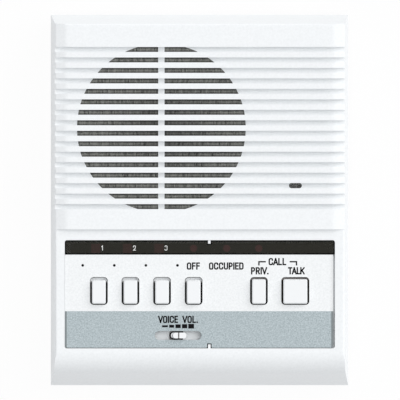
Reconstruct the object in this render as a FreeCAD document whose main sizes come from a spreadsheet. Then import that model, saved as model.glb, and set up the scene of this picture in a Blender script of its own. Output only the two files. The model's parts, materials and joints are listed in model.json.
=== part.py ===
"""A desk intercom master station with three station keys, lying on its back on four rubber feet.

+Z points out of the front face, +Y to the loudspeaker end and +X to the talk key. The origin is in
the middle of the footprint, at the underside of the feet. Lengths are in millimetres.
"""
import FreeCAD, Part
import math
import os
import re
import Sketcher

# Driving sizes, one sheet cell each
SIZES = {
    # Casing
    "casing_width": 156.8,
    "grille_section_length": 113.1,
    "panel_section_length": 82.2,
    "cover_height": 34.1,
    "base_height": 8.7,
    "foot_height": 2.0,
    "side_wall": 2.5,
    "face_wall": 4.0,
    "low_face_wall": 3.6,
    "side_draft": 2.4,
    "top_slope": 5.1,
    "top_edge_radius": 1.0,
    "end_slope_angle": 75.0,
    "end_roll_radius": 11.4,
    "shoulder_width": 5.8,
    "crest_radius": 6.0,
    "side_edge_radius": 1.1,
    "face_step": 2.1,
    "cover_screw_side": 12.0,
    "cover_screw_end": 12.8,
    "cover_boss_radius": 3.8,
    "cover_screw_radius": 1.5,
    "cover_screw_bite": 9.0,
    "overrun": 3.0,
    # Grooves, slots and microphone hole in the face
    "groove_top_margin": 18.53,
    "groove_low_margin": 11.98,
    "groove_width": 2.6,
    "groove_depth": 3.0,
    "groove_count": 16,
    "grille_margin": 0.31,
    "grille_rib": 3.35,
    "mic_share": 0.3204,
    "mic_groove": 13,
    "mic_hole_length": 6.75,
    "mic_hole_width": 2.7,
    # Rear base
    "base_inset": 0.8,
    "base_wall": 2.2,
    "base_floor": 2.2,
    "base_lip": 1.2,
    "lip_height": 2.0,
    "lip_clearance": 0.8,
    "head_room": 1.0,
    "wall_hole_radius": 2.3,
    "wall_hole_length": 83.5,
    "wall_hole_width": 46.0,
    "cable_hole_width": 34.0,
    "cable_hole_length": 14.0,
    "cable_hole_side": 29.4,
    "cable_hole_end": 61.6,
    "vent_length": 26.0,
    "vent_width": 2.4,
    "vent_spacing": 5.2,
    "vent_count": 6,
    "vent_side": 30.0,
    "plate_recess_width": 56.0,
    "plate_recess_length": 20.0,
    "plate_recess_depth": 0.5,
    "plate_recess_end": 30.0,
    "foot_radius": 6.5,
    "foot_inset": 24.0,
    # Screws
    "screw_head_height": 2.0,
    "screw_head_radius": 2.9,
    "screw_recess_width": 0.9,
    "screw_recess_length": 3.0,
    "screw_recess_depth": 0.9,
    "thread_clearance": 0.02,
    "hole_clearance": 0.25,
    # Control panel and indicator window
    "panel_side_margin": 7.38,
    "panel_margin": 5.78,
    "panel_end_margin": 20.05,
    "panel_thickness": 2.0,
    "panel_sink": 0.6,
    "panel_gap": 0.4,
    "panel_left_gap": 0.1,
    "panel_right_gap": 0.95,
    "panel_corner": 1.1,
    "panel_rim": 1.5,
    "panel_side_rim": 3.0,
    "window_length": 7.5,
    "window_gap": 0.12,
    "notch_share": 0.0351,
    "notch_width": 1.35,
    "notch_depth": 1.7,
    "notch_gap": 0.5,
    # Keys: the shares are of the panel's width and length
    "first_key_share": -0.3736,
    "key_spacing_share": 0.1169,
    "privacy_share": 0.2186,
    "talk_share": 0.3533,
    "key_drop_share": 0.4714,
    "key_width": 7.2,
    "talk_key_width": 12.6,
    "key_length": 12.35,
    "key_gap": 1.05,
    "key_corner": 0.9,
    "key_bevel": 0.5,
    "key_bevel_height": 1.3,
    "key_height": 6.2,
    "key_proud": 2.5,
    "key_low_gap": 0.55,
    "key_high_gap": 1.7,
    "push_high_gap": 1.15,
    "ledge_gap": 0.25,
    "ledge_wing": 0.5,
    "ledge_drop": 2.5,
    "key_travel": 3.0,
    "key_stop_gap": 0.4,
    "stem_width": 6.0,
    "stem_guide": 4.6,
    "stem_clearance": 0.15,
    "spring_radius": 2.6,
    "spring_wire": 0.5,
    # Switches on the board
    "switch_floor": 1.0,
    "switch_half_width": 7.4,
    "switch_end": 6.4,
    "latch_offset": 5.0,
    "latch_thickness": 1.0,
    "latch_height": 3.0,
    "latch_clearance": 0.2,
    "latch_travel": 1.5,
    "leaf_thickness": 0.4,
    # Volume control
    "volume_share": -0.0804,
    "volume_drop_share": 0.8865,
    "volume_slot_length": 24.6,
    "volume_slot_width": 4.7,
    "volume_travel": 6.2,
    "knob_length": 6.9,
    "knob_width": 3.0,
    "knob_proud": 1.6,
    "knob_shift": 0.8,
    "knob_corner": 1.2,
    "collar_length": 7.46,
    "collar_width": 3.0,
    "collar_sink": 0.3,
    "collar_corner": 1.45,
    "knob_moat": 0.52,
    "knob_moat_depth": 1.6,
    "collar_moat": 1.0,
    "collar_moat_depth": 0.9,
    "knob_line_shift": 0.3,
    "knob_line_width": 0.7,
    "knob_line_depth": 1.1,
    "shutter_lap": 1.1,
    "shutter_thickness": 1.2,
    "shutter_gap": 1.4,
    "volume_body_length": 38.0,
    "volume_body_width": 8.4,
    "volume_body_height": 7.0,
    "lever_thickness": 1.2,
    "lever_width": 3.0,
    "lever_depth": 2.0,
    "lever_clearance": 0.2,
    # Indicator lamps
    "lamp_shift": 1.6,
    "lamp_drop_share": 0.56,
    "lamp_width": 4.8,
    "lamp_radius": 1.85,
    "lamp_height": 6.5,
    "lamp_pin": 0.6,
    "lamp_pin_spacing": 2.54,
    "lamp_clearance": 0.1,
    "occupied_share": 0.0999,
    "holder_width": 6.4,
    "holder_end": 2.0,
    "holder_gap": 0.2,
    # Main board and what it carries: the shares are of the board's width and length
    "board_stand": 19.8,
    "board_thickness": 1.6,
    "board_side_margin": 18.45,
    "board_rise": 8.5,
    "board_end_margin": 12.1,
    "board_screw_inset": 8.0,
    "board_screw_edge": 3.6,
    "board_boss_radius": 3.0,
    "board_screw_radius": 1.3,
    "board_screw_bite": 7.0,
    "part_room": 5.2,
    "transformer_x_share": 0.29,
    "transformer_y_share": 0.72,
    "transformer_width": 24.0,
    "transformer_length": 20.0,
    "core_yoke": 3.0,
    "coil_swell": 2.5,
    "capacitor_radius": 4.8,
    "capacitor_height": 12.0,
    "capacitor_x_share": -0.4,
    "capacitor_y_share": 0.74,
    "capacitor_spacing_share": 0.11,
    "capacitor_count": 3,
    "amplifier_x_share": 0.05,
    "amplifier_y_share": 0.7,
    "amplifier_length": 20.0,
    "amplifier_width": 6.4,
    "amplifier_height": 3.4,
    "sink_thickness": 1.2,
    "sink_height": 11.0,
    "resistor_x_share": -0.28,
    "resistor_y_share": 0.24,
    "resistor_spacing_share": 0.075,
    "resistor_count": 6,
    "resistor_radius": 1.2,
    "resistor_length": 6.5,
    # Loudspeaker
    "cloth_thickness": 0.4,
    "cloth_gap": 0.6,
    "speaker_lap": 2.7,
    "speaker_side_gap": 11.12,
    "flange_width": 7.5,
    "flange_thickness": 1.0,
    "surround_gap": 4.0,
    "surround_thickness": 0.3,
    "magnet_room": 5.3,
    "basket_wall": 0.9,
    "basket_base_radius": 23.5,
    "basket_window": 24.0,
    "cone_thickness": 0.5,
    "cone_rise": 4.4,
    "cone_edge": 2.3,
    "dust_cap_radius": 9.8,
    "dust_cap_height": 3.4,
    "dome_radius_share": 0.6,
    "dome_height_share": 0.8,
    "spider_gap": 1.6,
    "spider_thickness": 0.5,
    "plate_thickness": 3.2,
    "plate_step": 1.0,
    "magnet_radius": 25.0,
    "magnet_bore": 13.0,
    "magnet_height": 7.5,
    "pole_gap": 0.6,
    "coil_radius": 8.0,
    "coil_wall": 0.35,
    "coil_gap": 0.3,
    "coil_reach": 7.0,
    "speaker_boss_radius": 3.0,
    "speaker_boss_gap": 0.4,
    "clamp_length": 9.0,
    "clamp_width": 7.0,
    "clamp_thickness": 1.0,
    "speaker_screw_bite": 2.4,
    "tag_width": 12.0,
    "tag_length": 5.0,
    "lead_radius": 0.75,
    "lead_spacing": 4.0,
    "lead_bend": 2.5,
    "lead_height": 5.0,
    "lead_landing": 7.0,
    # Microphone
    "capsule_radius": 4.85,
    "capsule_height": 5.8,
    "boot_wall": 1.8,
    "boot_height": 7.4,
    "boot_front": 0.6,
    "boot_clearance": 0.05,
    "mesh_thickness": 0.3,
    "collar_wall": 1.3,
    # Line terminals
    "terminal_side": 36.45,
    "terminal_end": 31.5,
    "terminal_length": 44.0,
    "terminal_width": 11.0,
    "terminal_height": 9.0,
    "terminal_count": 6,
    "terminal_screw_radius": 2.4,
    "terminal_screw_depth": 2.2,
    "terminal_barrier": 2.0,
}

# Places and lengths worked out from the sizes, as they are written in an expression
PLACES = {
    "casing_length": "grille_section_length + panel_section_length",
    "half_length": "casing_length / 2",
    "half_width": "casing_width / 2",
    "part_z": "foot_height + base_height",
    "face_z": "part_z + cover_height",
    "low_z": "face_z - face_step",
    "inner_z": "face_z - face_wall",
    "low_inner_z": "low_z - low_face_wall",
    "floor_z": "foot_height + base_floor",
    "step_y": "half_length - grille_section_length",
    "groove_y": "half_length - groove_top_margin",
    "groove_run": "grille_section_length - groove_top_margin - groove_low_margin",
    "groove_spacing": "groove_run / (groove_count - 1)",
    "grille_radius": "groove_count * groove_spacing / 2 + grille_margin",
    "speaker_radius": "grille_radius + speaker_lap",
    "speaker_x": "speaker_radius + speaker_side_gap - half_width",
    "speaker_y": "groove_y - groove_run / 2",
    "mic_x": "mic_share * casing_width",
    "mic_y": "groove_y - mic_groove * groove_spacing",
    "cable_hole_x": "half_width - cable_hole_side",
    "cable_hole_y": "half_length - cable_hole_end",
    "recess_width": "casing_width - 2 * panel_side_margin",
    "recess_side": "recess_width / 2",
    "recess_top": "panel_top + window_gap",
    "recess_end": "panel_end - panel_gap",
    "panel_left": "panel_left_gap - recess_side",
    "panel_right": "recess_side - panel_right_gap",
    "panel_length": "panel_section_length - panel_margin - panel_end_margin",
    "panel_top": "step_y - panel_margin",
    "panel_end": "panel_top - panel_length",
    "panel_depth": "panel_sink + panel_thickness",
    "panel_under_z": "low_z - panel_depth",
    "window_end": "panel_top - window_length",
    "notch_x": "notch_share * recess_width",
    "key_y": "panel_top - key_drop_share * panel_length",
    "key_hole_length": "key_low_gap + key_length + key_high_gap",
    "cap_low": "key_y + key_low_gap - key_hole_length / 2",
    "first_key_x": "first_key_share * recess_width",
    "key_spacing": "key_spacing_share * recess_width",
    "off_x": "first_key_x + 3 * key_spacing",
    "privacy_x": "privacy_share * recess_width",
    "talk_x": "talk_share * recess_width",
    "volume_x": "volume_share * recess_width",
    "volume_y": "panel_top - volume_drop_share * panel_length",
    "lamp_y": "panel_top - lamp_drop_share * window_length",
    "occupied_x": "occupied_share * recess_width",
    "key_top_z": "low_z + key_proud",
    "key_bottom_z": "key_top_z - key_height",
    "board_z": "floor_z + board_stand",
    "board_under_z": "board_z - board_thickness",
    "board_width": "casing_width - 2 * board_side_margin",
    "board_edge_y": "step_y + board_rise",
    "board_length": "panel_section_length + board_rise - board_end_margin",
    "switch_top_z": "key_bottom_z - key_travel - key_stop_gap",
    "spring_foot_z": "board_z + switch_floor",
    "stem_foot_z": "switch_top_z - stem_guide",
    "cover_screw_x": "half_width - cover_screw_side",
    "cover_screw_y": "half_length - cover_screw_end",
    "board_screw_x": "board_width / 2 - board_screw_inset",
    "board_screw_top": "board_edge_y - board_screw_edge",
    "board_screw_low": "board_edge_y - board_length + board_screw_edge",
    "transformer_x": "transformer_x_share * board_width",
    "transformer_y": "board_edge_y - transformer_y_share * board_length",
    "transformer_height": "board_under_z - floor_z - part_room",
    "coil_height": "transformer_height - 2 * core_yoke",
    "capacitor_x": "capacitor_x_share * board_width",
    "capacitor_y": "board_edge_y - capacitor_y_share * board_length",
    "capacitor_spacing": "capacitor_spacing_share * board_width",
    "amplifier_x": "amplifier_x_share * board_width",
    "amplifier_y": "board_edge_y - amplifier_y_share * board_length",
    "resistor_x": "resistor_x_share * board_width",
    "resistor_y": "board_edge_y - resistor_y_share * board_length",
    "resistor_spacing": "resistor_spacing_share * board_width",
    "cloth_z": "inner_z - cloth_thickness",
    "flange_z": "cloth_z - surround_thickness",
    "flange_back_z": "flange_z - flange_thickness",
    "flange_inner": "speaker_radius - flange_width",
    "motor_height": "2 * plate_thickness + magnet_height",
    "basket_depth": "flange_z - floor_z - magnet_room - motor_height",
    "basket_z": "flange_z - basket_depth",
    "cone_depth": "basket_depth - cone_rise",
    "plate_radius": "basket_base_radius - plate_step",
    "neck_radius": "coil_radius + coil_wall",
    "gap_radius": "neck_radius + coil_gap",
    "clamp_offset": "(speaker_radius + speaker_boss_radius + speaker_boss_gap) * sqrt(2) / 2",
    "boot_radius": "capsule_radius + boot_wall",
    "shutter_z": "panel_under_z - shutter_gap",
    "shutter_half": "volume_slot_length / 2 + volume_travel + knob_width / 2",
    "terminal_x": "half_width - terminal_side",
    "terminal_y": "half_length - terminal_end",
}

COVER_SCREWS = [
    ("-cover_screw_x", "-cover_screw_y"),
    ("cover_screw_x", "-cover_screw_y"),
    ("-cover_screw_x", "cover_screw_y"),
    ("cover_screw_x", "cover_screw_y"),
]
BOARD_SCREWS = [
    ("-board_screw_x", "board_screw_low"),
    ("board_screw_x", "board_screw_low"),
    ("-board_screw_x", "board_screw_top"),
    ("board_screw_x", "board_screw_top"),
]
SPEAKER_SCREWS = [
    ("speaker_x - clamp_offset", "speaker_y - clamp_offset", "-1", "-1"),
    ("speaker_x + clamp_offset", "speaker_y - clamp_offset", "1", "-1"),
    ("speaker_x - clamp_offset", "speaker_y + clamp_offset", "-1", "1"),
    ("speaker_x + clamp_offset", "speaker_y + clamp_offset", "1", "1"),
]
KEYS = {
    "station_1": ("first_key_x", "key_width"),
    "station_2": ("first_key_x + key_spacing", "key_width"),
    "station_3": ("first_key_x + 2 * key_spacing", "key_width"),
    "off": ("off_x", "key_width"),
    "privacy": ("privacy_x", "key_width"),
    "talk": ("talk_x", "talk_key_width"),
}
LATCHING_KEYS = ["station_1", "station_2", "station_3", "off"]

doc = FreeCAD.newDocument("Intercom")
sheet = doc.addObject("Spreadsheet::Sheet", "Sizes")
exported = []


def fill_sheet():
    """Name in column A, plain number in column B, with the name as the number's alias."""
    for row, (name, number) in enumerate(SIZES.items(), start=1):
        sheet.set(f"A{row}", name)
        sheet.set(f"B{row}", str(number))
        sheet.setAlias(f"B{row}", name)
    doc.recompute()


def expand(text):
    """Writes a size's or a place's name as the sheet's expression for it."""
    def swap(found):
        word = found.group(0)
        if word in PLACES:
            return "(" + expand(PLACES[word]) + ")"
        return "Sizes." + word if word in SIZES else word
    return re.sub(r"[a-z_][a-z_0-9]*", swap, text)


def value(text):
    return float(sheet.evalExpression(expand(text)))


def bind(thing, name, text):
    thing.setExpression(name, expand(text))


# Shapes drawn in a sketch: each is a function that adds its lines to the sketch
def polygon(*corners, closed=True):
    """An outline through (x, y) corners; a third value rounds that corner."""
    def draw(sketch):
        places = [FreeCAD.Vector(value(c[0]), value(c[1]), 0) for c in corners]
        radii = [value(c[2]) if len(c) > 2 else 0 for c in corners]
        count = len(corners)
        ends, arcs = [], {}
        for i, here in enumerate(places):
            if not radii[i]:
                ends.append((here, here))
                continue
            back = (places[i - 1] - here).normalize()
            ahead = (places[(i + 1) % count] - here).normalize()
            half_turn = back.getAngle(ahead) / 2
            reach = radii[i] / math.tan(half_turn)
            centre = here + (back + ahead).normalize() * (radii[i] / math.sin(half_turn))
            ends.append((here + back * reach, here + ahead * reach))
            left = back.cross(ahead).z < 0
            spokes = [end - centre for end in (ends[i] if left else ends[i][::-1])]
            angles = [math.atan2(spoke.y, spoke.x) for spoke in spokes]
            circle = Part.Circle(centre, FreeCAD.Vector(0, 0, 1), radii[i])
            arcs[i] = (Part.ArcOfCircle(circle, *angles), left)
        lines = [
            sketch.addGeometry(Part.LineSegment(ends[i][1], ends[(i + 1) % count][0]))
            for i in range(count if closed else count - 1)
        ]
        rules, bound = [], []
        for i, corner in enumerate(corners):
            before, after = lines[i - 1], lines[min(i, len(lines) - 1)]
            anchor, end = (after, 1) if closed or i < count - 1 else (after, 2)
            if i in arcs:
                anchor, end = sketch.addGeometry(Part.Point(places[i]), True), 1
                arc = sketch.addGeometry(arcs[i][0])
                start, stop = (1, 2) if arcs[i][1] else (2, 1)
                rules.append(Sketcher.Constraint("PointOnObject", anchor, 1, before))
                rules.append(Sketcher.Constraint("PointOnObject", anchor, 1, after))
                rules.append(Sketcher.Constraint("Tangent", before, 2, arc, start))
                rules.append(Sketcher.Constraint("Tangent", arc, stop, after, 1))
                rules.append(Sketcher.Constraint("Radius", arc, radii[i]))
                bound.append((len(rules) - 1, corner[2]))
            elif closed or 0 < i < count - 1:
                rules.append(Sketcher.Constraint("Coincident", before, 2, after, 1))
            rules.append(Sketcher.Constraint("DistanceX", -1, 1, anchor, end, places[i].x))
            bound.append((len(rules) - 1, corner[0]))
            rules.append(Sketcher.Constraint("DistanceY", -1, 1, anchor, end, places[i].y))
            bound.append((len(rules) - 1, corner[1]))
        constrain(sketch, rules, bound)
    return draw


def constrain(sketch, rules, bound):
    first = sketch.ConstraintCount
    sketch.addConstraint(rules)
    for index, text in bound:
        bind(sketch, f"Constraints[{first + index}]", text)


def rectangle(x, y, width, length, radius=None):
    """A rectangle about its middle, with rounded corners if it has a radius."""
    signs = (("-", "-"), ("+", "-"), ("+", "+"), ("-", "+"))
    corners = [(f"{x} {a} ({width}) / 2", f"{y} {b} ({length}) / 2") for a, b in signs]
    return polygon(*[corner + ((radius,) if radius else ()) for corner in corners])


def span(x0, y0, x1, y1, radius=None):
    """A rectangle between two opposite corners."""
    corners = [(x0, y0), (x1, y0), (x1, y1), (x0, y1)]
    return polygon(*[corner + ((radius,) if radius else ()) for corner in corners])


def circle(x, y, radius):
    def draw(sketch):
        centre = FreeCAD.Vector(value(x), value(y), 0)
        ring = sketch.addGeometry(Part.Circle(centre, FreeCAD.Vector(0, 0, 1), value(radius)))
        rules = [
            Sketcher.Constraint("DistanceX", -1, 1, ring, 3, centre.x),
            Sketcher.Constraint("DistanceY", -1, 1, ring, 3, centre.y),
            Sketcher.Constraint("Radius", ring, value(radius)),
        ]
        constrain(sketch, rules, [(0, x), (1, y), (2, radius)])
    return draw


def obround(x, y, length, width):
    """A slot along X with full round ends."""
    def draw(sketch):
        reach = f"(({length}) - ({width})) / 2"
        left, right = f"{x} - {reach}", f"{x} + {reach}"
        low, high = f"{y} - ({width}) / 2", f"{y} + ({width}) / 2"
        centre_y, radius = value(y), value(width) / 2
        up = FreeCAD.Vector(0, 0, 1)
        ends = []
        for place, turn in ((left, math.pi / 2), (right, -math.pi / 2)):
            ring = Part.Circle(FreeCAD.Vector(value(place), centre_y, 0), up, radius)
            ends.append(sketch.addGeometry(Part.ArcOfCircle(ring, turn, turn + math.pi)))
        lines = []
        for side, begin, stop in ((low, left, right), (high, right, left)):
            run = [FreeCAD.Vector(value(place), value(side), 0) for place in (begin, stop)]
            lines.append(sketch.addGeometry(Part.LineSegment(*run)))
        rules = [
            Sketcher.Constraint("Coincident", ends[0], 2, lines[0], 1),
            Sketcher.Constraint("Coincident", lines[0], 2, ends[1], 1),
            Sketcher.Constraint("Coincident", ends[1], 2, lines[1], 1),
            Sketcher.Constraint("Coincident", lines[1], 2, ends[0], 1),
        ]
        bound = []
        for line, begin, stop, side in ((lines[0], left, right, low), (lines[1], right, left, high)):
            for end, place in ((1, begin), (2, stop)):
                rules.append(Sketcher.Constraint("DistanceX", -1, 1, line, end, value(place)))
                bound.append((len(rules) - 1, place))
                rules.append(Sketcher.Constraint("DistanceY", -1, 1, line, end, value(side)))
                bound.append((len(rules) - 1, side))
        for end, place in ((ends[0], left), (ends[1], right)):
            rules.append(Sketcher.Constraint("DistanceX", -1, 1, end, 3, value(place)))
            bound.append((len(rules) - 1, place))
        constrain(sketch, rules, bound)
    return draw


# Bodies and their features
def new_body(label, keep=True):
    """A body; one that is kept is a sub-part, and one that isn't is only a tool."""
    body = doc.addObject("PartDesign::Body", label)
    body.Label = label
    body.AllowCompound = True
    if keep:
        exported.append(body)
    return body


def origin_part(body, role):
    return next(part for part in body.Origin.OriginFeatures if part.Role == role)


def draw_sketch(body, name, plane, offset, shapes, shift=None):
    """A sketch on one of the body's origin planes, moved along that plane's normal."""
    sketch = body.newObject("Sketcher::SketchObject", f"{body.Label}_{name}_sketch")
    sketch.AttachmentSupport = [(origin_part(body, plane), "")]
    sketch.MapMode = "FlatFace"
    bind(sketch, ".AttachmentOffset.Base.z", offset)
    if shift:
        bind(sketch, ".AttachmentOffset.Base.x", shift)
    for draw in shapes:
        draw(sketch)
    return sketch


def pad(body, name, shapes, low, high, plane="XY_Plane"):
    """Fills the shapes from one level to another, along Z, Y or X by the plane."""
    offset = f"-({high})" if plane == "XZ_Plane" else low
    feature = body.newObject("PartDesign::Pad", f"{body.Label}_{name}")
    feature.Profile = draw_sketch(body, name, plane, offset, shapes)
    bind(feature, "Length", f"({high}) - ({low})")
    body.Tip = feature
    return feature


def pocket(body, name, shapes, low, high, plane="XY_Plane"):
    """Cuts the shapes from one level to another, along Z, Y or X by the plane."""
    offset = f"-({low})" if plane == "XZ_Plane" else high
    feature = body.newObject("PartDesign::Pocket", f"{body.Label}_{name}")
    feature.Profile = draw_sketch(body, name, plane, offset, shapes)
    bind(feature, "Length", f"({high}) - ({low})")
    body.Tip = feature
    return feature


def turned(body, name, shapes, x, y):
    """Turns profiles, drawn as radius and height, about the upright line through (x, y)."""
    feature = body.newObject("PartDesign::Revolution", f"{body.Label}_{name}")
    sketch = draw_sketch(body, name, "XZ_Plane", f"-({y})", shapes, shift=x)
    feature.Profile = sketch
    feature.ReferenceAxis = (sketch, ["V_Axis"])
    feature.Angle = 360
    body.Tip = feature
    return feature


def loft(body, name, lower, low, upper, high):
    """Joins one outline to another, higher one."""
    feature = body.newObject("PartDesign::AdditiveLoft", f"{body.Label}_{name}")
    feature.Profile = draw_sketch(body, name + "_low", "XY_Plane", low, [lower])
    feature.Sections = [draw_sketch(body, name + "_high", "XY_Plane", high, [upper])]
    feature.Ruled = True
    body.Tip = feature
    return feature


def repeat(body, name, feature, axis, reverse, length, count):
    """Repeats a feature in a row."""
    row = body.newObject("PartDesign::LinearPattern", f"{body.Label}_{name}")
    row.Originals = [feature]
    row.Direction = (origin_part(body, axis), [""])
    row.Reversed = reverse
    bind(row, "Length", length)
    bind(row, "Occurrences", count)
    body.Tip = row
    return row


def take_away(body, name, tool):
    feature = body.newObject("PartDesign::Boolean", f"{body.Label}_{name}")
    feature.Type = "Cut"
    feature.setObjects([tool])
    body.Tip = feature
    return feature


# Casing
def section(inset, top, radius, crest=None):
    """Cross section of the casing, set in from the skin: drafted sides with rounded edges, and
    above them, if it has a crest, two sloping shoulders."""
    lean = f"side_draft / cover_height * ({top} - part_z)"
    side, edge = f"half_width - ({inset})", f"half_width - ({inset}) - {lean}"
    corner = (radius,) if radius else ()
    half = [(side, "part_z"), (edge, top) + corner]
    if crest:
        half.append((f"{edge} - shoulder_width", crest, "crest_radius"))
    return polygon(*[(f"-({x})", *rest) for x, *rest in half], *half[::-1])


def trim_ends(body, inset, face, low_face):
    """Cuts the sloping top end, and the lower end that rolls off into a slope."""
    lean = f"top_slope / cover_height * ({face} - part_z)"
    edge = f"half_length - ({inset}) - {lean}"
    top_end = polygon(
        (f"half_length - ({inset})", "part_z"),
        (edge, face, "top_edge_radius"),
        (f"{edge} - 2 * top_edge_radius", face),
        (f"{edge} - 2 * top_edge_radius", "face_z + overrun"),
        ("half_length + overrun", "face_z + overrun"),
        ("half_length + overrun", "part_z"),
    )
    foot = f"-half_length + ({inset})"
    knee = f"{foot} + ({low_face} - part_z) / tan(end_slope_angle)"
    lower_end = polygon(
        (foot, "part_z"),
        (knee, low_face, f"end_roll_radius - ({inset})"),
        (f"{knee} + end_roll_radius", low_face),
        (f"{knee} + end_roll_radius", "face_z + overrun"),
        ("-half_length - overrun", "face_z + overrun"),
        ("-half_length - overrun", "part_z"),
    )
    sides = ("-half_width - overrun", "half_width + overrun")
    pocket(body, "top_end", [top_end], *sides, "YZ_Plane")
    pocket(body, "lower_end", [lower_end], *sides, "YZ_Plane")


def cover_core():
    """What the front cover is hollowed out by."""
    core = new_body("cover_core", keep=False)
    high = section("side_wall", "inner_z", None)
    low = section("side_wall", "low_inner_z", None)
    pad(core, "raised", [high], "step_y", "half_length - side_wall", "XZ_Plane")
    pad(core, "lower", [low], "-half_length + side_wall", "step_y", "XZ_Plane")
    trim_ends(core, "side_wall", "inner_z", "low_inner_z")
    return core


def grille_openings():
    """The slots over the loudspeaker: a disc less the bars between grooves and the middle rib."""
    tool = new_body("grille_openings", keep=False)
    low, high = "inner_z - overrun", "face_z + overrun"
    pad(tool, "disc", [circle("speaker_x", "speaker_y", "grille_radius")], low, high)
    rib = rectangle("speaker_x", "speaker_y", "grille_rib", "2 * grille_radius + overrun")
    pocket(tool, "rib", [rib], low, high)
    bar = rectangle(
        "speaker_x",
        "groove_y + groove_spacing / 2",
        "2 * grille_radius + overrun",
        "groove_spacing - groove_width",
    )
    first = pocket(tool, "bar", [bar], low, high)
    repeat(tool, "bars", first, "Y_Axis", True, "groove_count * groove_spacing", "groove_count + 1")
    return tool


def cover_bosses(cover):
    """Posts for the screws, standing on the inside of the face, before the ends are trimmed."""
    posts = [circle(x, y, "cover_boss_radius") for x, y in COVER_SCREWS]
    low_posts, top_posts = posts[:2], posts[2:]
    pad(cover, "low_screw_posts", low_posts, "part_z", "low_z - low_face_wall / 2")
    pad(cover, "top_screw_posts", top_posts, "part_z", "face_z - face_wall / 2")
    posts = [circle(x, y, "board_boss_radius") for x, y in BOARD_SCREWS]
    pad(cover, "low_board_posts", posts[:2], "board_z", "low_z - low_face_wall / 2")
    pad(cover, "top_board_posts", posts[2:], "board_z", "face_z - face_wall / 2")
    posts = [circle(x, y, "speaker_boss_radius") for x, y, *_ in SPEAKER_SCREWS]
    pad(cover, "speaker_posts", posts, "flange_back_z", "inner_z + face_wall / 8")
    collar_inner = "boot_radius + boot_clearance"
    collar = [
        circle("mic_x", "mic_y", f"{collar_inner} + collar_wall"),
        circle("mic_x", "mic_y", collar_inner),
    ]
    pad(cover, "mic_collar", collar, "inner_z - boot_height", "inner_z + face_wall / 8")


def cover_screw_holes(cover):
    radius = "cover_screw_radius + thread_clearance"
    depth = "part_z + cover_screw_bite + screw_head_height"
    holes = [circle(x, y, radius) for x, y in COVER_SCREWS]
    pocket(cover, "screw_holes", holes, "part_z - overrun", depth)
    radius = "board_screw_radius + thread_clearance"
    depth = "board_z + board_screw_bite + screw_head_height"
    holes = [circle(x, y, radius) for x, y in BOARD_SCREWS]
    pocket(cover, "board_holes", holes, "board_z - overrun", depth)
    holes = [circle(x, y, radius) for x, y, *_ in SPEAKER_SCREWS]
    depth = "flange_back_z + speaker_screw_bite + thread_clearance"
    pocket(cover, "speaker_holes", holes, "flange_back_z - overrun", depth)


def panel_recess(cover):
    """The step that the panel and window lie in, its open middle and its two locating tabs."""
    edges = ("-recess_side", "recess_end", "recess_side", "recess_top")
    recess = span(*edges, "panel_corner + window_gap")
    pocket(cover, "panel_recess", [recess], "panel_under_z", "low_z + overrun")
    size = ("recess_width - 2 * panel_side_rim", "panel_length - 2 * panel_rim")
    middle = rectangle("0", "(panel_top + panel_end) / 2", *size, "panel_corner")
    pocket(cover, "panel_middle", [middle], "low_inner_z - overrun", "low_z + overrun")
    half = "(notch_width / 2 + notch_gap)"
    beside = span(f"notch_x - {half}", "recess_end", f"notch_x + {half}", "recess_top")
    pocket(cover, "beside_tabs", [beside], "low_inner_z - overrun", "panel_under_z")
    half = "notch_width / 2"
    tabs = [
        span(f"notch_x - {half}", edge, f"notch_x + {half}", far)
        for edge, far in (
            ("panel_top - notch_depth", "panel_top + 2 * panel_gap"),
            ("panel_end - 2 * panel_gap", "panel_end + notch_depth"),
        )
    ]
    pad(cover, "tabs", tabs, "low_inner_z", "low_z - panel_sink")


def front_cover():
    cover = new_body("front_cover")
    raised = section("0", "low_z", "side_edge_radius", crest="face_z")
    lower = section("0", "low_z", "side_edge_radius")
    pad(cover, "raised_section", [raised], "step_y", "half_length", "XZ_Plane")
    pad(cover, "lower_section", [lower], "-half_length", "step_y", "XZ_Plane")
    take_away(cover, "hollow", cover_core())
    cover_bosses(cover)
    trim_ends(cover, "0", "face_z", "low_z")
    cover_screw_holes(cover)
    groove = span(
        "groove_y - groove_width / 2",
        "face_z - groove_depth",
        "groove_y + groove_width / 2",
        "face_z + overrun",
    )
    sides = ("-half_width - overrun", "half_width + overrun")
    first = pocket(cover, "groove", [groove], *sides, "YZ_Plane")
    length = "(groove_count - 1) * groove_spacing"
    repeat(cover, "grooves", first, "Y_Axis", True, length, "groove_count")
    take_away(cover, "grille", grille_openings())
    mic_hole = obround("mic_x", "mic_y", "mic_hole_length", "mic_hole_width")
    pocket(cover, "mic_hole", [mic_hole], "inner_z - overrun", "face_z + overrun")
    panel_recess(cover)


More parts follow.
